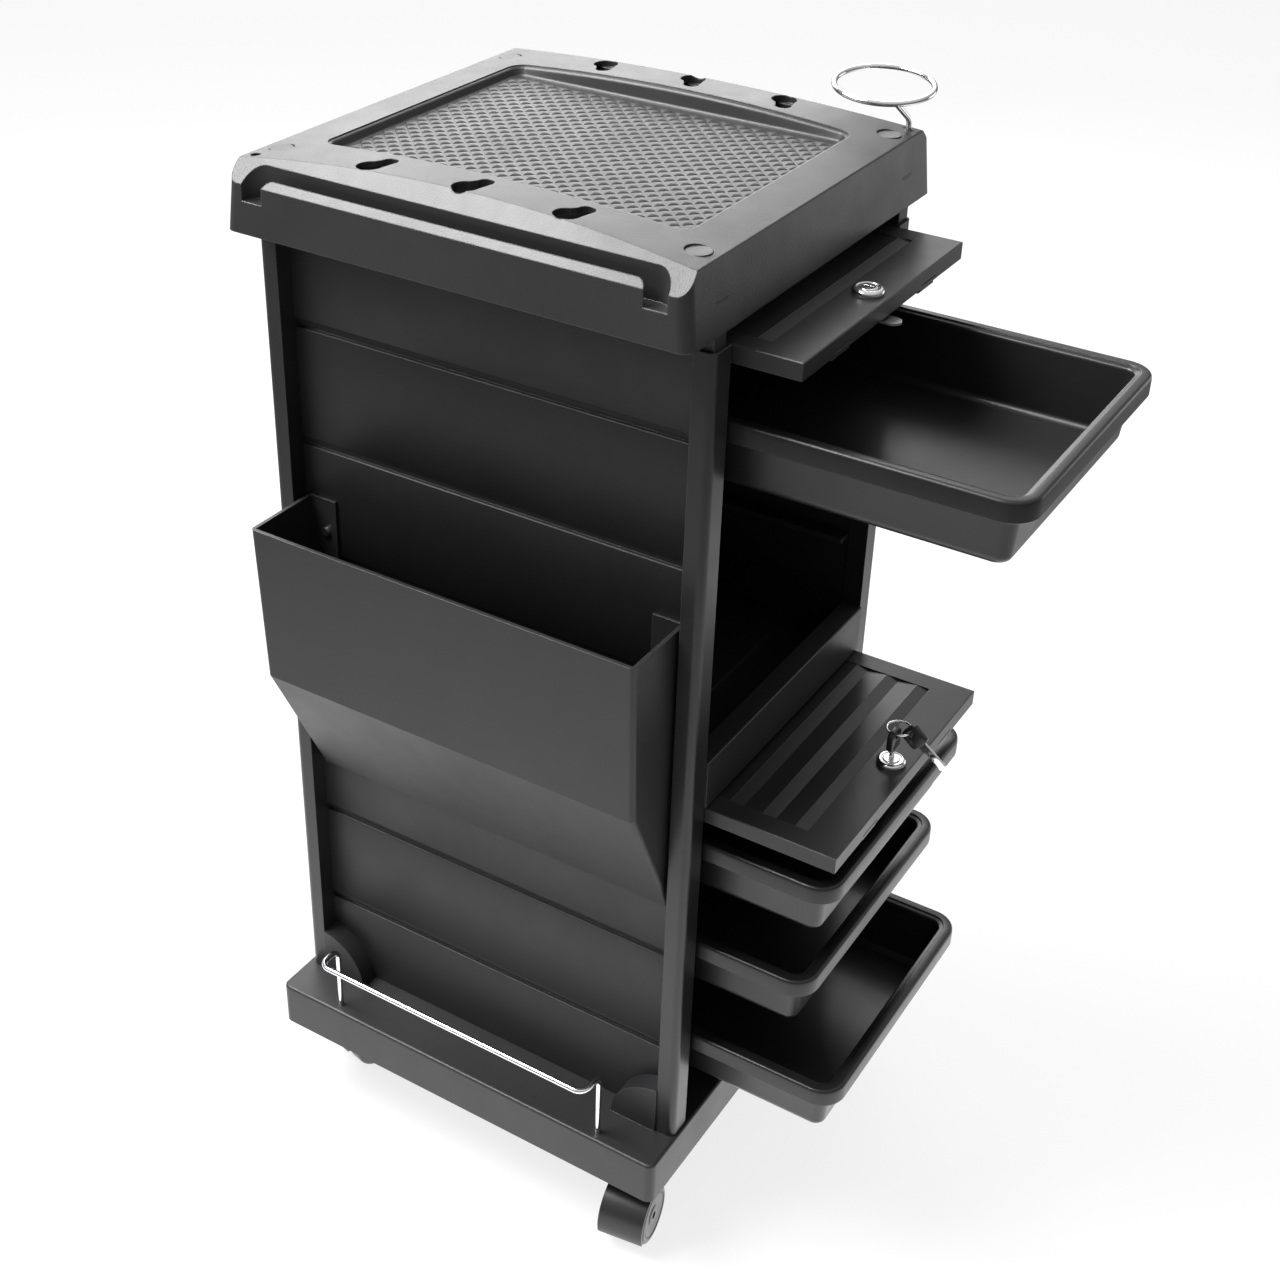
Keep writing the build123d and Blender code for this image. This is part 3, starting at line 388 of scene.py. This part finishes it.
def drawer_profile():
    """(inset, height below the rim) from the middle of the tub's underside round to its floor inside."""
    points = [(60.0, -55.0), (34.0, -55.0)]
    points += [(22.4 - 8.0 * math.sin(math.radians(a)), -47.0 - 8.0 * math.cos(math.radians(a)))
               for a in range(0, 91, 11)]
    points += [(10.6, -8.0), (9.6, -5.0), (8.4, -4.2), (3.2, -4.2), (2.4, -5.0), (2.3, -14.6),
               (2.0, -15.0), (0.5, -15.0), (0.0, -14.5), (0.0, -4.6), (0.15, -3.6)]
    points += [(2.9 - 2.75 * math.cos(math.radians(a)), -2.75 + 2.75 * math.sin(math.radians(a)))
               for a in range(15, 91, 12)]
    points += [(7.2, 0.0), (7.7, -0.15), (7.95, -0.5), (8.05, -1.1), (8.6, -1.35), (10.4, -1.5),
               (11.3, -1.9), (11.9, -2.8), (12.2, -4.2), (16.6, -44.0), (16.9, -46.0)]
    points += [(22.9 - 6.0 * math.cos(math.radians(a)), -46.5 - 6.0 * math.sin(math.radians(a)))
               for a in range(10, 91, 10)]
    return points + [(60.0, -52.5)]


def build_drawer(name):
    """One drawer: rolled rim, skirt under it, and a drafted tub with round inner corners."""
    low, high = box_mm(name)
    half_x = (high.x - low.x) / 2
    bm = bmesh.new()
    loops = []
    for inset, height in drawer_profile():
        radius = max(RIM_RADIUS - inset, 9.0 - inset * 0.05)
        plan = rounded_loop(half_x - inset, low.y + inset, high.y - inset, radius)
        loops.append([(x, y, high.z + height) for x, y in plan])
    skin_loops(bm, loops)
    return as_piece(name + "_moulding", bm, name + "_body", DRAWER, (name,), sharp=40)


for drawer_name in ("drawer_1", "drawer_2", "drawer_3", "drawer_4"):
    build_drawer(drawer_name)


# ---------------------------------------------------------------- quilted tray floor
QUILT_HALF_X = 111.0
QUILT_HALF_Y = 138.0
QUILT_CORNER = 16.0
QUILT_FLOOR = 856.5
QUILT_PITCH = 12.9
QUILT_HEIGHT = 0.95
RIDGE_SHARE = 0.14


def inside_quilt(x, y):
    """Whether a stud's middle lies inside the round-cornered floor."""
    over_x = max(0.0, abs(x) - (QUILT_HALF_X - QUILT_CORNER))
    over_y = max(0.0, abs(y) - (QUILT_HALF_Y - QUILT_CORNER))
    return math.hypot(over_x, over_y) < QUILT_CORNER - 1.5


def build_quilt():
    """Rows of low four-sided studs set cornerwise, with rounded tops and narrow valleys between them."""
    bm = bmesh.new()
    half = QUILT_PITCH / 2
    columns = int(QUILT_HALF_X / half)
    rows = int(QUILT_HALF_Y / half)
    levels = ((1.0 - RIDGE_SHARE, 0.04), (0.78, 0.35), (0.45, 0.78), (0.18, 0.97))
    points = ((1, 0), (0, 1), (-1, 0), (0, -1))
    for i in range(-columns, columns + 1):
        for j in range(-rows, rows + 1):
            x, y = i * half, j * half
            if (i + j) % 2 or not inside_quilt(x, y):
                continue
            rings = []
            for share, height in levels:
                reach = share * half
                z = QUILT_FLOOR + height * QUILT_HEIGHT
                rings.append([bm.verts.new((x + reach * dx, y + reach * dy, z)) for dx, dy in points])
            for low, high in zip(rings, rings[1:]):
                for k in range(4):
                    n = (k + 1) % 4
                    bm.faces.new((low[k], low[n], high[n], high[k]))
            bm.faces.new(rings[-1])
    return as_piece("tray_quilt", bm, "cabinet", TRAY, (), smooth=False)


build_quilt()


# ---------------------------------------------------------------- soft wall round the tray floor
RECESS_HALF_X = 118.0
RECESS_HALF_Y = 145.0
RECESS_CORNER = 11.0
LINING_STEP = 0.9
SHOULDER_RADIUS = 3.4
FOOT_RADIUS = 2.6


def deck_height(y):
    """Height of the tray's crowned deck."""
    return 860.0 + 10.0 * (1.0 - (y / 180.0) ** 2)


def lining_profile():
    """(inset, whether the height counts from the deck, height) round the wall's closed section."""
    points = [(-2.6, True, -LINING_STEP)]
    shoulder = arc(-1.3, -LINING_STEP - SHOULDER_RADIUS, SHOULDER_RADIUS, 90, 10, 8)
    points += [(inset, True, height) for inset, height in shoulder]
    foot = arc(5.8, FOOT_RADIUS + 0.05, FOOT_RADIUS, 190, 270, 8)
    points += [(inset, False, height) for inset, height in foot]
    return points + [(6.2, False, -0.4), (-3.0, False, -0.4), (-3.0, True, -1.4), points[0]]


def stepped_sides(loop, steps=24):
    """Adds points along a loop's two sides that run front to back."""
    dense = []
    for (x0, y0), (x1, y1) in zip(loop, loop[1:] + loop[:1]):
        parts = steps if abs(y1 - y0) > 40 else 1
        dense += [(x0 + (x1 - x0) * k / parts, y0 + (y1 - y0) * k / parts) for k in range(parts)]
    return dense


def build_recess_lining():
    """Rounded shoulder, leaning wall and hollow foot between the deck and the quilted floor."""
    bm = bmesh.new()
    loops = []
    for inset, from_deck, height in lining_profile():
        half_x, half_y = RECESS_HALF_X - inset, RECESS_HALF_Y - inset
        plan = stepped_sides(rounded_loop(half_x, -half_y, half_y, max(RECESS_CORNER - inset, 5.0)))
        loops.append([(x, y, height + (deck_height(y) if from_deck else QUILT_FLOOR)) for x, y in plan])
    skin_loops(bm, loops, False, False)
    return as_piece("tray_recess_lining", bm, "cabinet", TRAY, (), sharp=50)


build_recess_lining()


# ---------------------------------------------------------------- rounded ridges on the doors' slats
SLAT_HALF_X = 107
SLAT_FIRST = 31
SLAT_PITCH = 26.5
SLAT_RISE = 10.5
SLAT_COUNT = 10
CREST_RADIUS = 0.5
CREST_BELOW_TOP = 0.6


def build_slat_ridges(side):
    """A fine round bead along the crest of each slat."""
    low, high = box_mm(side + "_door")
    bm = bmesh.new()
    for index in range(SLAT_COUNT):
        y = low.y + SLAT_FIRST + index * SLAT_PITCH + SLAT_RISE
        z = high.z - CREST_BELOW_TOP
        tube(bm, [Vector((x, y, z)) for x in (-SLAT_HALF_X, 0.0, SLAT_HALF_X)], CREST_RADIUS, steps=16)
    return as_piece(side + "_door_slat_ridges", bm, side + "_door_body", DOOR, sharp=60)


build_slat_ridges("upper")
build_slat_ridges("lower")


# ---------------------------------------------------------------- chrome ring and rail
RAIL_WIRE = 2.25
RAIL_BEND = 9.0


def build_rail():
    """Bottle rail: two legs that bend outwards and carry a straight bar along the side."""
    low, high = box_mm("base_rail")
    leg_x = high.x - RAIL_WIRE
    out_x = low.x + RAIL_WIRE
    leg_y = high.y - RAIL_WIRE
    top = high.z - RAIL_WIRE
    corners = [(leg_x, leg_y, low.z), (leg_x, leg_y, top), (out_x, leg_y, top),
               (out_x, -leg_y, top), (leg_x, -leg_y, top), (leg_x, -leg_y, low.z)]
    bm = bmesh.new()
    tube(bm, bent_path(corners, RAIL_BEND), RAIL_WIRE)
    return as_piece("base_rail_wire", bm, "cabinet", CHROME, ("base_rail",), sharp=60)


build_rail()

RING_WIRE = 2.1
RING_STEPS = 96
RING_CENTRE = Vector((169.3, -144.0, 886.0))
RING_RADIUS = 36.5
RING_TILT = math.radians(4.9)
RING_LOW_SIDE = Vector((-0.908, -0.42, 0.0)).normalized()
RING_JOINT = Vector((140.9, -167.0, 883.0))
RING_SOCKET = Vector((158.5, -170.8, 0.0))
LEG_BOTTOM = 836.0
LEG_BEND_HEIGHT = 868.0
LEG_BEND_REACH = 4.0
LEG_BEND_STEPS = 10


def build_ring():
    """The dryer ring and its bent leg, in one wire."""
    bm = bmesh.new()
    across = Vector((-RING_LOW_SIDE.y, RING_LOW_SIDE.x, 0))
    down_hill = RING_LOW_SIDE * math.cos(RING_TILT) - Vector((0, 0, math.sin(RING_TILT)))
    circle = []
    for i in range(RING_STEPS):
        angle = 2 * math.pi * i / RING_STEPS
        circle.append(RING_CENTRE + across * (RING_RADIUS * math.cos(angle))
                      + down_hill * (RING_RADIUS * math.sin(angle)))
    tube(bm, circle, RING_WIRE, cyclic=True)
    low = RING_SOCKET + Vector((0, 0, LEG_BOTTOM))
    bend = RING_SOCKET + Vector((0, 0, LEG_BEND_HEIGHT))
    to_joint = (RING_JOINT - bend).normalized()
    start, end = bend - Vector((0, 0, LEG_BEND_REACH)), bend + to_joint * LEG_BEND_REACH
    turn = []
    for i in range(LEG_BEND_STEPS + 1):
        t = i / LEG_BEND_STEPS
        turn.append(start * (1 - t) ** 2 + bend * (2 * t * (1 - t)) + end * t ** 2)
    tube(bm, [low] + turn + [RING_JOINT], RING_WIRE)
    return as_piece("dryer_ring_wire", bm, "ring", CHROME, ("dryer_ring",), sharp=60)


build_ring()


# ---------------------------------------------------------------- locks and keys
LOCK_INSET = 15.5
HEAD_RADIUS = 11.2
HEAD_HEIGHT = 4.5
DOME_RADIUS = 2.6
BORE_RADIUS = 6.56
THREAD_CREST = 9.3
THREAD_ROOT = 9.0
THREAD_TURNS = 12


def door_front(side):
    """Where a door's front edge stands."""
    return box_mm(side + "_door")[0].y


def build_lock_housing(side):
    """Domed chrome head with a stepped face round the plug, and its threaded barrel through the door."""
    low, high = box_mm(side + "_lock_housing")
    bottom, face = low.z, high.z
    top = face - HEAD_HEIGHT
    profile = [(BORE_RADIUS, bottom), (BORE_RADIUS, face - 0.75), (BORE_RADIUS + 0.12, face - 0.55),
               (7.9, face - 0.5), (8.05, face - 0.12), (8.3, face)]
    profile += [(HEAD_RADIUS - DOME_RADIUS * (1 - math.sin(math.radians(a))),
                 face - DOME_RADIUS * (1 - math.cos(math.radians(a)))) for a in range(0, 91, 9)]
    profile += [(HEAD_RADIUS, top + 0.75), (HEAD_RADIUS - 0.25, top + 0.5),
                (HEAD_RADIUS - 0.25, top + 0.05), (THREAD_CREST, top + 0.05)]
    length = top - bottom - 0.4
    for k in range(THREAD_TURNS):
        crest = top - 0.2 - length * (k + 0.25) / THREAD_TURNS
        profile += [(THREAD_CREST, crest), (THREAD_ROOT, crest - length * 0.5 / THREAD_TURNS)]
    profile += [(THREAD_CREST - 0.05, bottom), (BORE_RADIUS, bottom)]
    bm = bmesh.new()
    lathe(bm, profile, (0, door_front(side) + LOCK_INSET, 0))
    return as_piece(side + "_lock_head", bm, side + "_door_body", LOCK_CHROME,
                    (side + "_lock_housing",), sharp=32)


build_lock_housing("upper")
build_lock_housing("lower")

BOW_WIDTH = 16.0
BOW_LENGTH = 17.0
BOW_THICKNESS = 5.0
BLADE_WIDTH = 7.0
BLADE_LENGTH = 24.0
BLADE_THICKNESS = 1.9
KEY_CUTS = (1.1, 0.4, 1.5, 0.8, 1.3, 0.3)
CUT_PITCH = 2.9
KEY_HOLE_INSET = 4.5
KEY_HOLE = (0.0, BLADE_LENGTH + BOW_LENGTH - KEY_HOLE_INSET, 2.6)
KEY_RING_WIRE = 0.75
SPARE_KEY_DROP = 38.0
BLADE_INSERTED_TO = 11.0


def slab(bm, outline, thickness, bevel, hole=None):
    """A flat plate of an outline in XZ, thickness along Y, with rounded rims and an optional round hole."""
    rings = []
    count = len(outline)
    middle = Vector((sum(x for x, _ in outline) / count, 0, sum(z for _, z in outline) / count))
    for inset, y in ((bevel, -thickness / 2), (bevel * 0.3, -thickness / 2 + bevel * 0.3),
                     (0.0, -thickness / 2 + bevel), (0.0, thickness / 2 - bevel),
                     (bevel * 0.3, thickness / 2 - bevel * 0.3), (bevel, thickness / 2)):
        ring = []
        for x, z in outline:
            outward = Vector((x, 0, z)) - middle
            shrink = 1 - inset / max(outward.length, 0.01)
            point = middle + outward * shrink
            ring.append(bm.verts.new((point.x, y, point.z)))
        rings.append(ring)
    for low, high in zip(rings, rings[1:]):
        for i in range(count):
            j = (i + 1) % count
            bm.faces.new((low[i], low[j], high[j], high[i]))
    if hole is None:
        bm.faces.new(rings[0])
        bm.faces.new(rings[-1])
        return
    hole_x, hole_z, hole_radius = hole
    bores = []
    for ring in (rings[0], rings[-1]):
        bore = []
        for vert in ring:
            angle = math.atan2(vert.co.z - hole_z, vert.co.x - hole_x)
            bore.append(bm.verts.new((hole_x + hole_radius * math.cos(angle), vert.co.y,
                                      hole_z + hole_radius * math.sin(angle))))
        for i in range(count):
            j = (i + 1) % count
            bm.faces.new((ring[i], ring[j], bore[j], bore[i]))
        bores.append(bore)
    for i in range(count):
        j = (i + 1) % count
        bm.faces.new((bores[0][i], bores[0][j], bores[1][j], bores[1][i]))


def bow_outline():
    """Rounded head of the key with a narrower shoulder, standing on the blade's end."""
    half = BOW_WIDTH / 2
    top = BLADE_LENGTH + BOW_LENGTH
    small, large = 3.2, 5.0
    corners = ((half - small, BLADE_LENGTH + small, small, -90), (half - large, top - large, large, 0),
               (-half + large, top - large, large, 90), (-half + small, BLADE_LENGTH + small, small, 180))
    points = []
    for cx, cz, radius, start in corners:
        points += arc(cx, cz, radius, start, start + 90, 6)
    return points


def blade_outline(from_z):
    """Key blade with a row of cuts along one edge."""
    half = BLADE_WIDTH / 2
    points = [(half, BLADE_LENGTH + 1.0), (-half, BLADE_LENGTH + 1.0), (-half, from_z + 1.6),
              (-half + 1.6, from_z), (half - 1.6, from_z), (half - 0.6, from_z + 1.6)]
    for k, depth in enumerate(KEY_CUTS):
        z = 3.0 + k * CUT_PITCH
        if z > from_z + 3.2:
            points += [(half - depth, z - 0.5), (half - depth, z + 0.5), (half - 0.15, z + 1.4)]
    return points


def build_key(node, body, place, blade_from):
    """One key from the two plates, set where the CAD key is."""
    for kind, outline, thickness, bevel, material, slot in (
            ("bow", bow_outline(), BOW_THICKNESS, 1.0, KEY_BOW, "key_plastic"),
            ("blade", blade_outline(blade_from), BLADE_THICKNESS, 0.2, LOCK_CHROME, "lock_chrome")):
        bm = bmesh.new()
        slab(bm, outline, thickness, bevel, KEY_HOLE if kind == "bow" else None)
        bmesh.ops.transform(bm, matrix=place, verts=bm.verts)
        replaced = (node,) if kind == "bow" else ()
        as_piece(node + "_" + kind, bm, body, material, replaced, sharp=30)


def build_keys():
    """The key standing in the lower lock, and its spare hanging from the ring at a slant."""
    lock_y = door_front("lower") + LOCK_INSET
    key_top = box_mm("key")[1].z
    tip = key_top - BLADE_LENGTH - BOW_LENGTH
    build_key("key", "lower_lock_body", Matrix.Translation((0, lock_y, tip)), BLADE_INSERTED_TO)
    ring_low, ring_high = box_mm("key_ring")
    ring_radius = (ring_high.x - ring_low.x) / 2 - KEY_RING_WIRE
    hang = Matrix.Translation((ring_radius, lock_y - ring_radius, key_top - KEY_HOLE_INSET))
    lean = Matrix.Rotation(math.radians(SPARE_KEY_DROP - 90.0), 4, "X")
    turn = Matrix.Rotation(math.radians(90.0), 4, "Z")
    from_hole = Matrix.Translation((0, 0, -KEY_HOLE[1]))
    build_key("spare_key", "spare_key_body", hang @ lean @ turn @ from_hole, 0.0)


build_keys()


# ---------------------------------------------------------------- casters
CASTER_NAMES = ("front_left", "front_right", "rear_left", "rear_right")
WHEEL_RADIUS = 25.0
WHEEL_GAP = 4.5
WHEEL_WIDTH = 15.0
WHEEL_BORE = 3.3
TREAD_RADIUS = 3.2


def wheel_profile():
    """(radius, distance from the middle) of one wheel: bore, inner face, round tread, dished outer face."""
    inner, outer = WHEEL_GAP, WHEEL_GAP + WHEEL_WIDTH
    profile = [(WHEEL_BORE, inner), (WHEEL_RADIUS - 1.5, inner), (WHEEL_RADIUS - 0.4, inner + 0.5),
               (WHEEL_RADIUS, inner + 1.6)]
    profile += arc(WHEEL_RADIUS - TREAD_RADIUS, outer - TREAD_RADIUS, TREAD_RADIUS, 0, 90, 6)
    for radius, sunk in ((20.2, 0.0), (19.9, 0.2), (19.6, 0.9), (18.9, 1.0), (18.5, 0.4), (17.5, 0.3),
                         (9.5, 1.5), (8.6, 1.3), (7.8, 0.6), (WHEEL_BORE, 0.5)):
        profile.append((radius, outer - sunk))
    return profile + [(WHEEL_BORE, inner)]


def build_wheels(corner):
    """A caster's two wheels, set on their joint's axis."""
    joint = next(item for item in frame["joints"] if item["name"] == "wheels_" + corner + "_spin")
    centre = Vector(joint["pos_m"])
    axis = Vector(joint["axis"]).normalized()
    bm = bmesh.new()
    for sign in (1, -1):
        profile = [(radius, sign * distance) for radius, distance in wheel_profile()]
        lathe(bm, profile, (0, 0, 0))
    turn = Vector((0, 0, 1)).rotation_difference(axis).to_matrix().to_4x4()
    place = (centre - Vector((CABINET_X, CABINET_Y, 0))) * 1000
    bmesh.ops.transform(bm, matrix=Matrix.Translation(place) @ turn, verts=bm.verts)
    return as_piece("wheels_" + corner + "_pair", bm, "wheels_" + corner, CASTER,
                    ("caster_wheels_" + corner,), sharp=38)


for corner_name in CASTER_NAMES:
    build_wheels(corner_name)


# ---------------------------------------------------------------- floor, light and camera
# Glow strengths of the floor seen only in reflections (a painted reflection): near, far, and the distances it
# fades over.
FLOOR_NEAR = 1.7
FLOOR_FAR = 0.30
FADE_FROM = 0.45
FADE_TO = 1.5
FLOOR_WHITE_SHARE = 0.8


def build_stage():
    """A white floor; in reflections only, a glowing sheet round the trolley, a painted reflection of a lit floor
    that fades into a dark room.
    """
    bm = bmesh.new()
    bmesh.ops.create_grid(bm, x_segments=1, y_segments=1, size=9.0)
    mesh = bpy.data.meshes.new("studio_floor")
    bm.to_mesh(mesh)
    bm.free()
    floor = bpy.data.objects.new("studio_floor", mesh)
    bpy.context.scene.collection.objects.link(floor)
    material, tree, shader = new_material("studio_white")
    shader.inputs["Base Color"].default_value = (0.93, 0.93, 0.93, 1.0)
    shader.inputs["Roughness"].default_value = 0.9
    coord = tree.nodes.new("ShaderNodeTexCoord").outputs["Object"]
    length = tree.nodes.new("ShaderNodeVectorMath")
    length.operation = "LENGTH"
    tree.links.new(coord, length.inputs[0])
    # Painted reflection: glossy rays see the floor glowing, brightest near the trolley.
    glow = tree.nodes.new("ShaderNodeEmission")
    fading = add_map(tree, length.outputs["Value"], FADE_FROM, FADE_TO, FLOOR_NEAR, FLOOR_FAR)
    tree.links.new(fading, glow.inputs["Strength"])
    white = tree.nodes.new("ShaderNodeEmission")
    soft = tree.nodes.new("ShaderNodeMixShader")
    soft.inputs[0].default_value = FLOOR_WHITE_SHARE
    tree.links.new(shader.outputs[0], soft.inputs[1])
    tree.links.new(white.outputs[0], soft.inputs[2])
    mix = tree.nodes.new("ShaderNodeMixShader")
    tree.links.new(tree.nodes.new("ShaderNodeLightPath").outputs["Is Glossy Ray"], mix.inputs[0])
    tree.links.new(soft.outputs[0], mix.inputs[1])
    tree.links.new(glow.outputs[0], mix.inputs[2])
    tree.links.new(mix.outputs[0], tree.nodes["Material Output"].inputs["Surface"])
    mesh.materials.append(material)


def build_world():
    """White behind the trolley; in reflections a dim room that brightens overhead."""
    world = bpy.data.worlds.new("studio")
    bpy.context.scene.world = world
    world.use_nodes = True
    tree = world.node_tree
    white = tree.nodes["Background"]
    white.inputs["Color"].default_value = (1.0, 1.0, 1.0, 1.0)
    white.inputs["Strength"].default_value = 1.0
    room = tree.nodes.new("ShaderNodeBackground")
    split = tree.nodes.new("ShaderNodeSeparateXYZ")
    tree.links.new(tree.nodes.new("ShaderNodeTexCoord").outputs["Generated"], split.inputs[0])
    ramp = tree.nodes.new("ShaderNodeValToRGB")
    ramp.color_ramp.elements[0].position = 0.02
    ramp.color_ramp.elements[0].color = (0.03, 0.03, 0.03, 1.0)
    ramp.color_ramp.elements[1].position = 0.9
    ramp.color_ramp.elements[1].color = (0.75, 0.75, 0.75, 1.0)
    middle_stop = ramp.color_ramp.elements.new(0.3)
    middle_stop.color = (0.32, 0.32, 0.32, 1.0)
    tree.links.new(split.outputs["Z"], ramp.inputs["Fac"])
    tree.links.new(ramp.outputs["Color"], room.inputs["Color"])
    mix = tree.nodes.new("ShaderNodeMixShader")
    tree.links.new(tree.nodes.new("ShaderNodeLightPath").outputs["Is Camera Ray"], mix.inputs[0])
    tree.links.new(room.outputs[0], mix.inputs[1])
    tree.links.new(white.outputs[0], mix.inputs[2])
    tree.links.new(mix.outputs[0], tree.nodes["World Output"].inputs["Surface"])


def softbox(name, place, target, width, height, radiance):
    """A rectangular light that shows in reflections with the given brightness."""
    data = bpy.data.lights.new(name, "AREA")
    data.shape = "RECTANGLE"
    data.size = width
    data.size_y = height
    data.energy = radiance * math.pi * width * height
    light = bpy.data.objects.new(name, data)
    bpy.context.scene.collection.objects.link(light)
    light.location = place
    light.rotation_euler = (target - place).to_track_quat("-Z", "Y").to_euler()


build_stage()
build_world()
tray_middle = at(0, 0, 860)
softbox("over_left", tray_middle + Vector((-0.80, 1.20, 1.65)), tray_middle, 1.7, 1.3, 21.0)
softbox("behind", tray_middle + Vector((1.60, 1.50, 0.78)), tray_middle, 2.2, 1.35, 4.1)
softbox("right", tray_middle + Vector((2.0, 0.45, 1.15)), at(0, -150, 600), 1.4, 1.2, 0.6)
softbox("front_right", at(2300, -1350, 620), at(0, 0, 500), 1.3, 1.1, 1.6)
bpy.context.scene.view_settings.view_transform = "Standard"

CAMERA_LENS = 53.08172
CAMERA_SENSOR = 36.0
CAMERA_SHIFT = (0.020016, -0.068273)
CAMERA_PLACE = (-1091.18, -686.45, 1285.67)
CAMERA_YAW = math.radians(58.87)
CAMERA_PITCH = math.radians(30.51)
CAMERA_ROLL = math.radians(1.56)


def build_camera():
    """The camera stands where the picture was taken from."""
    data = bpy.data.cameras.new("camera")
    data.sensor_width = CAMERA_SENSOR
    data.lens = CAMERA_LENS
    data.shift_x, data.shift_y = CAMERA_SHIFT
    data.clip_start = 0.05
    camera = bpy.data.objects.new("camera", data)
    bpy.context.scene.collection.objects.link(camera)
    forward = Vector((math.sin(CAMERA_YAW) * math.cos(CAMERA_PITCH),
                      math.cos(CAMERA_YAW) * math.cos(CAMERA_PITCH), -math.sin(CAMERA_PITCH)))
    level = Vector((math.cos(CAMERA_YAW), -math.sin(CAMERA_YAW), 0))
    upward = level.cross(forward)
    right = level * math.cos(CAMERA_ROLL) + upward * math.sin(CAMERA_ROLL)
    up = upward * math.cos(CAMERA_ROLL) - level * math.sin(CAMERA_ROLL)
    turn = Matrix((right, up, -forward)).transposed().to_4x4()
    camera.matrix_world = Matrix.Translation(at(*CAMERA_PLACE)) @ turn
    bpy.context.scene.camera = camera


build_camera()
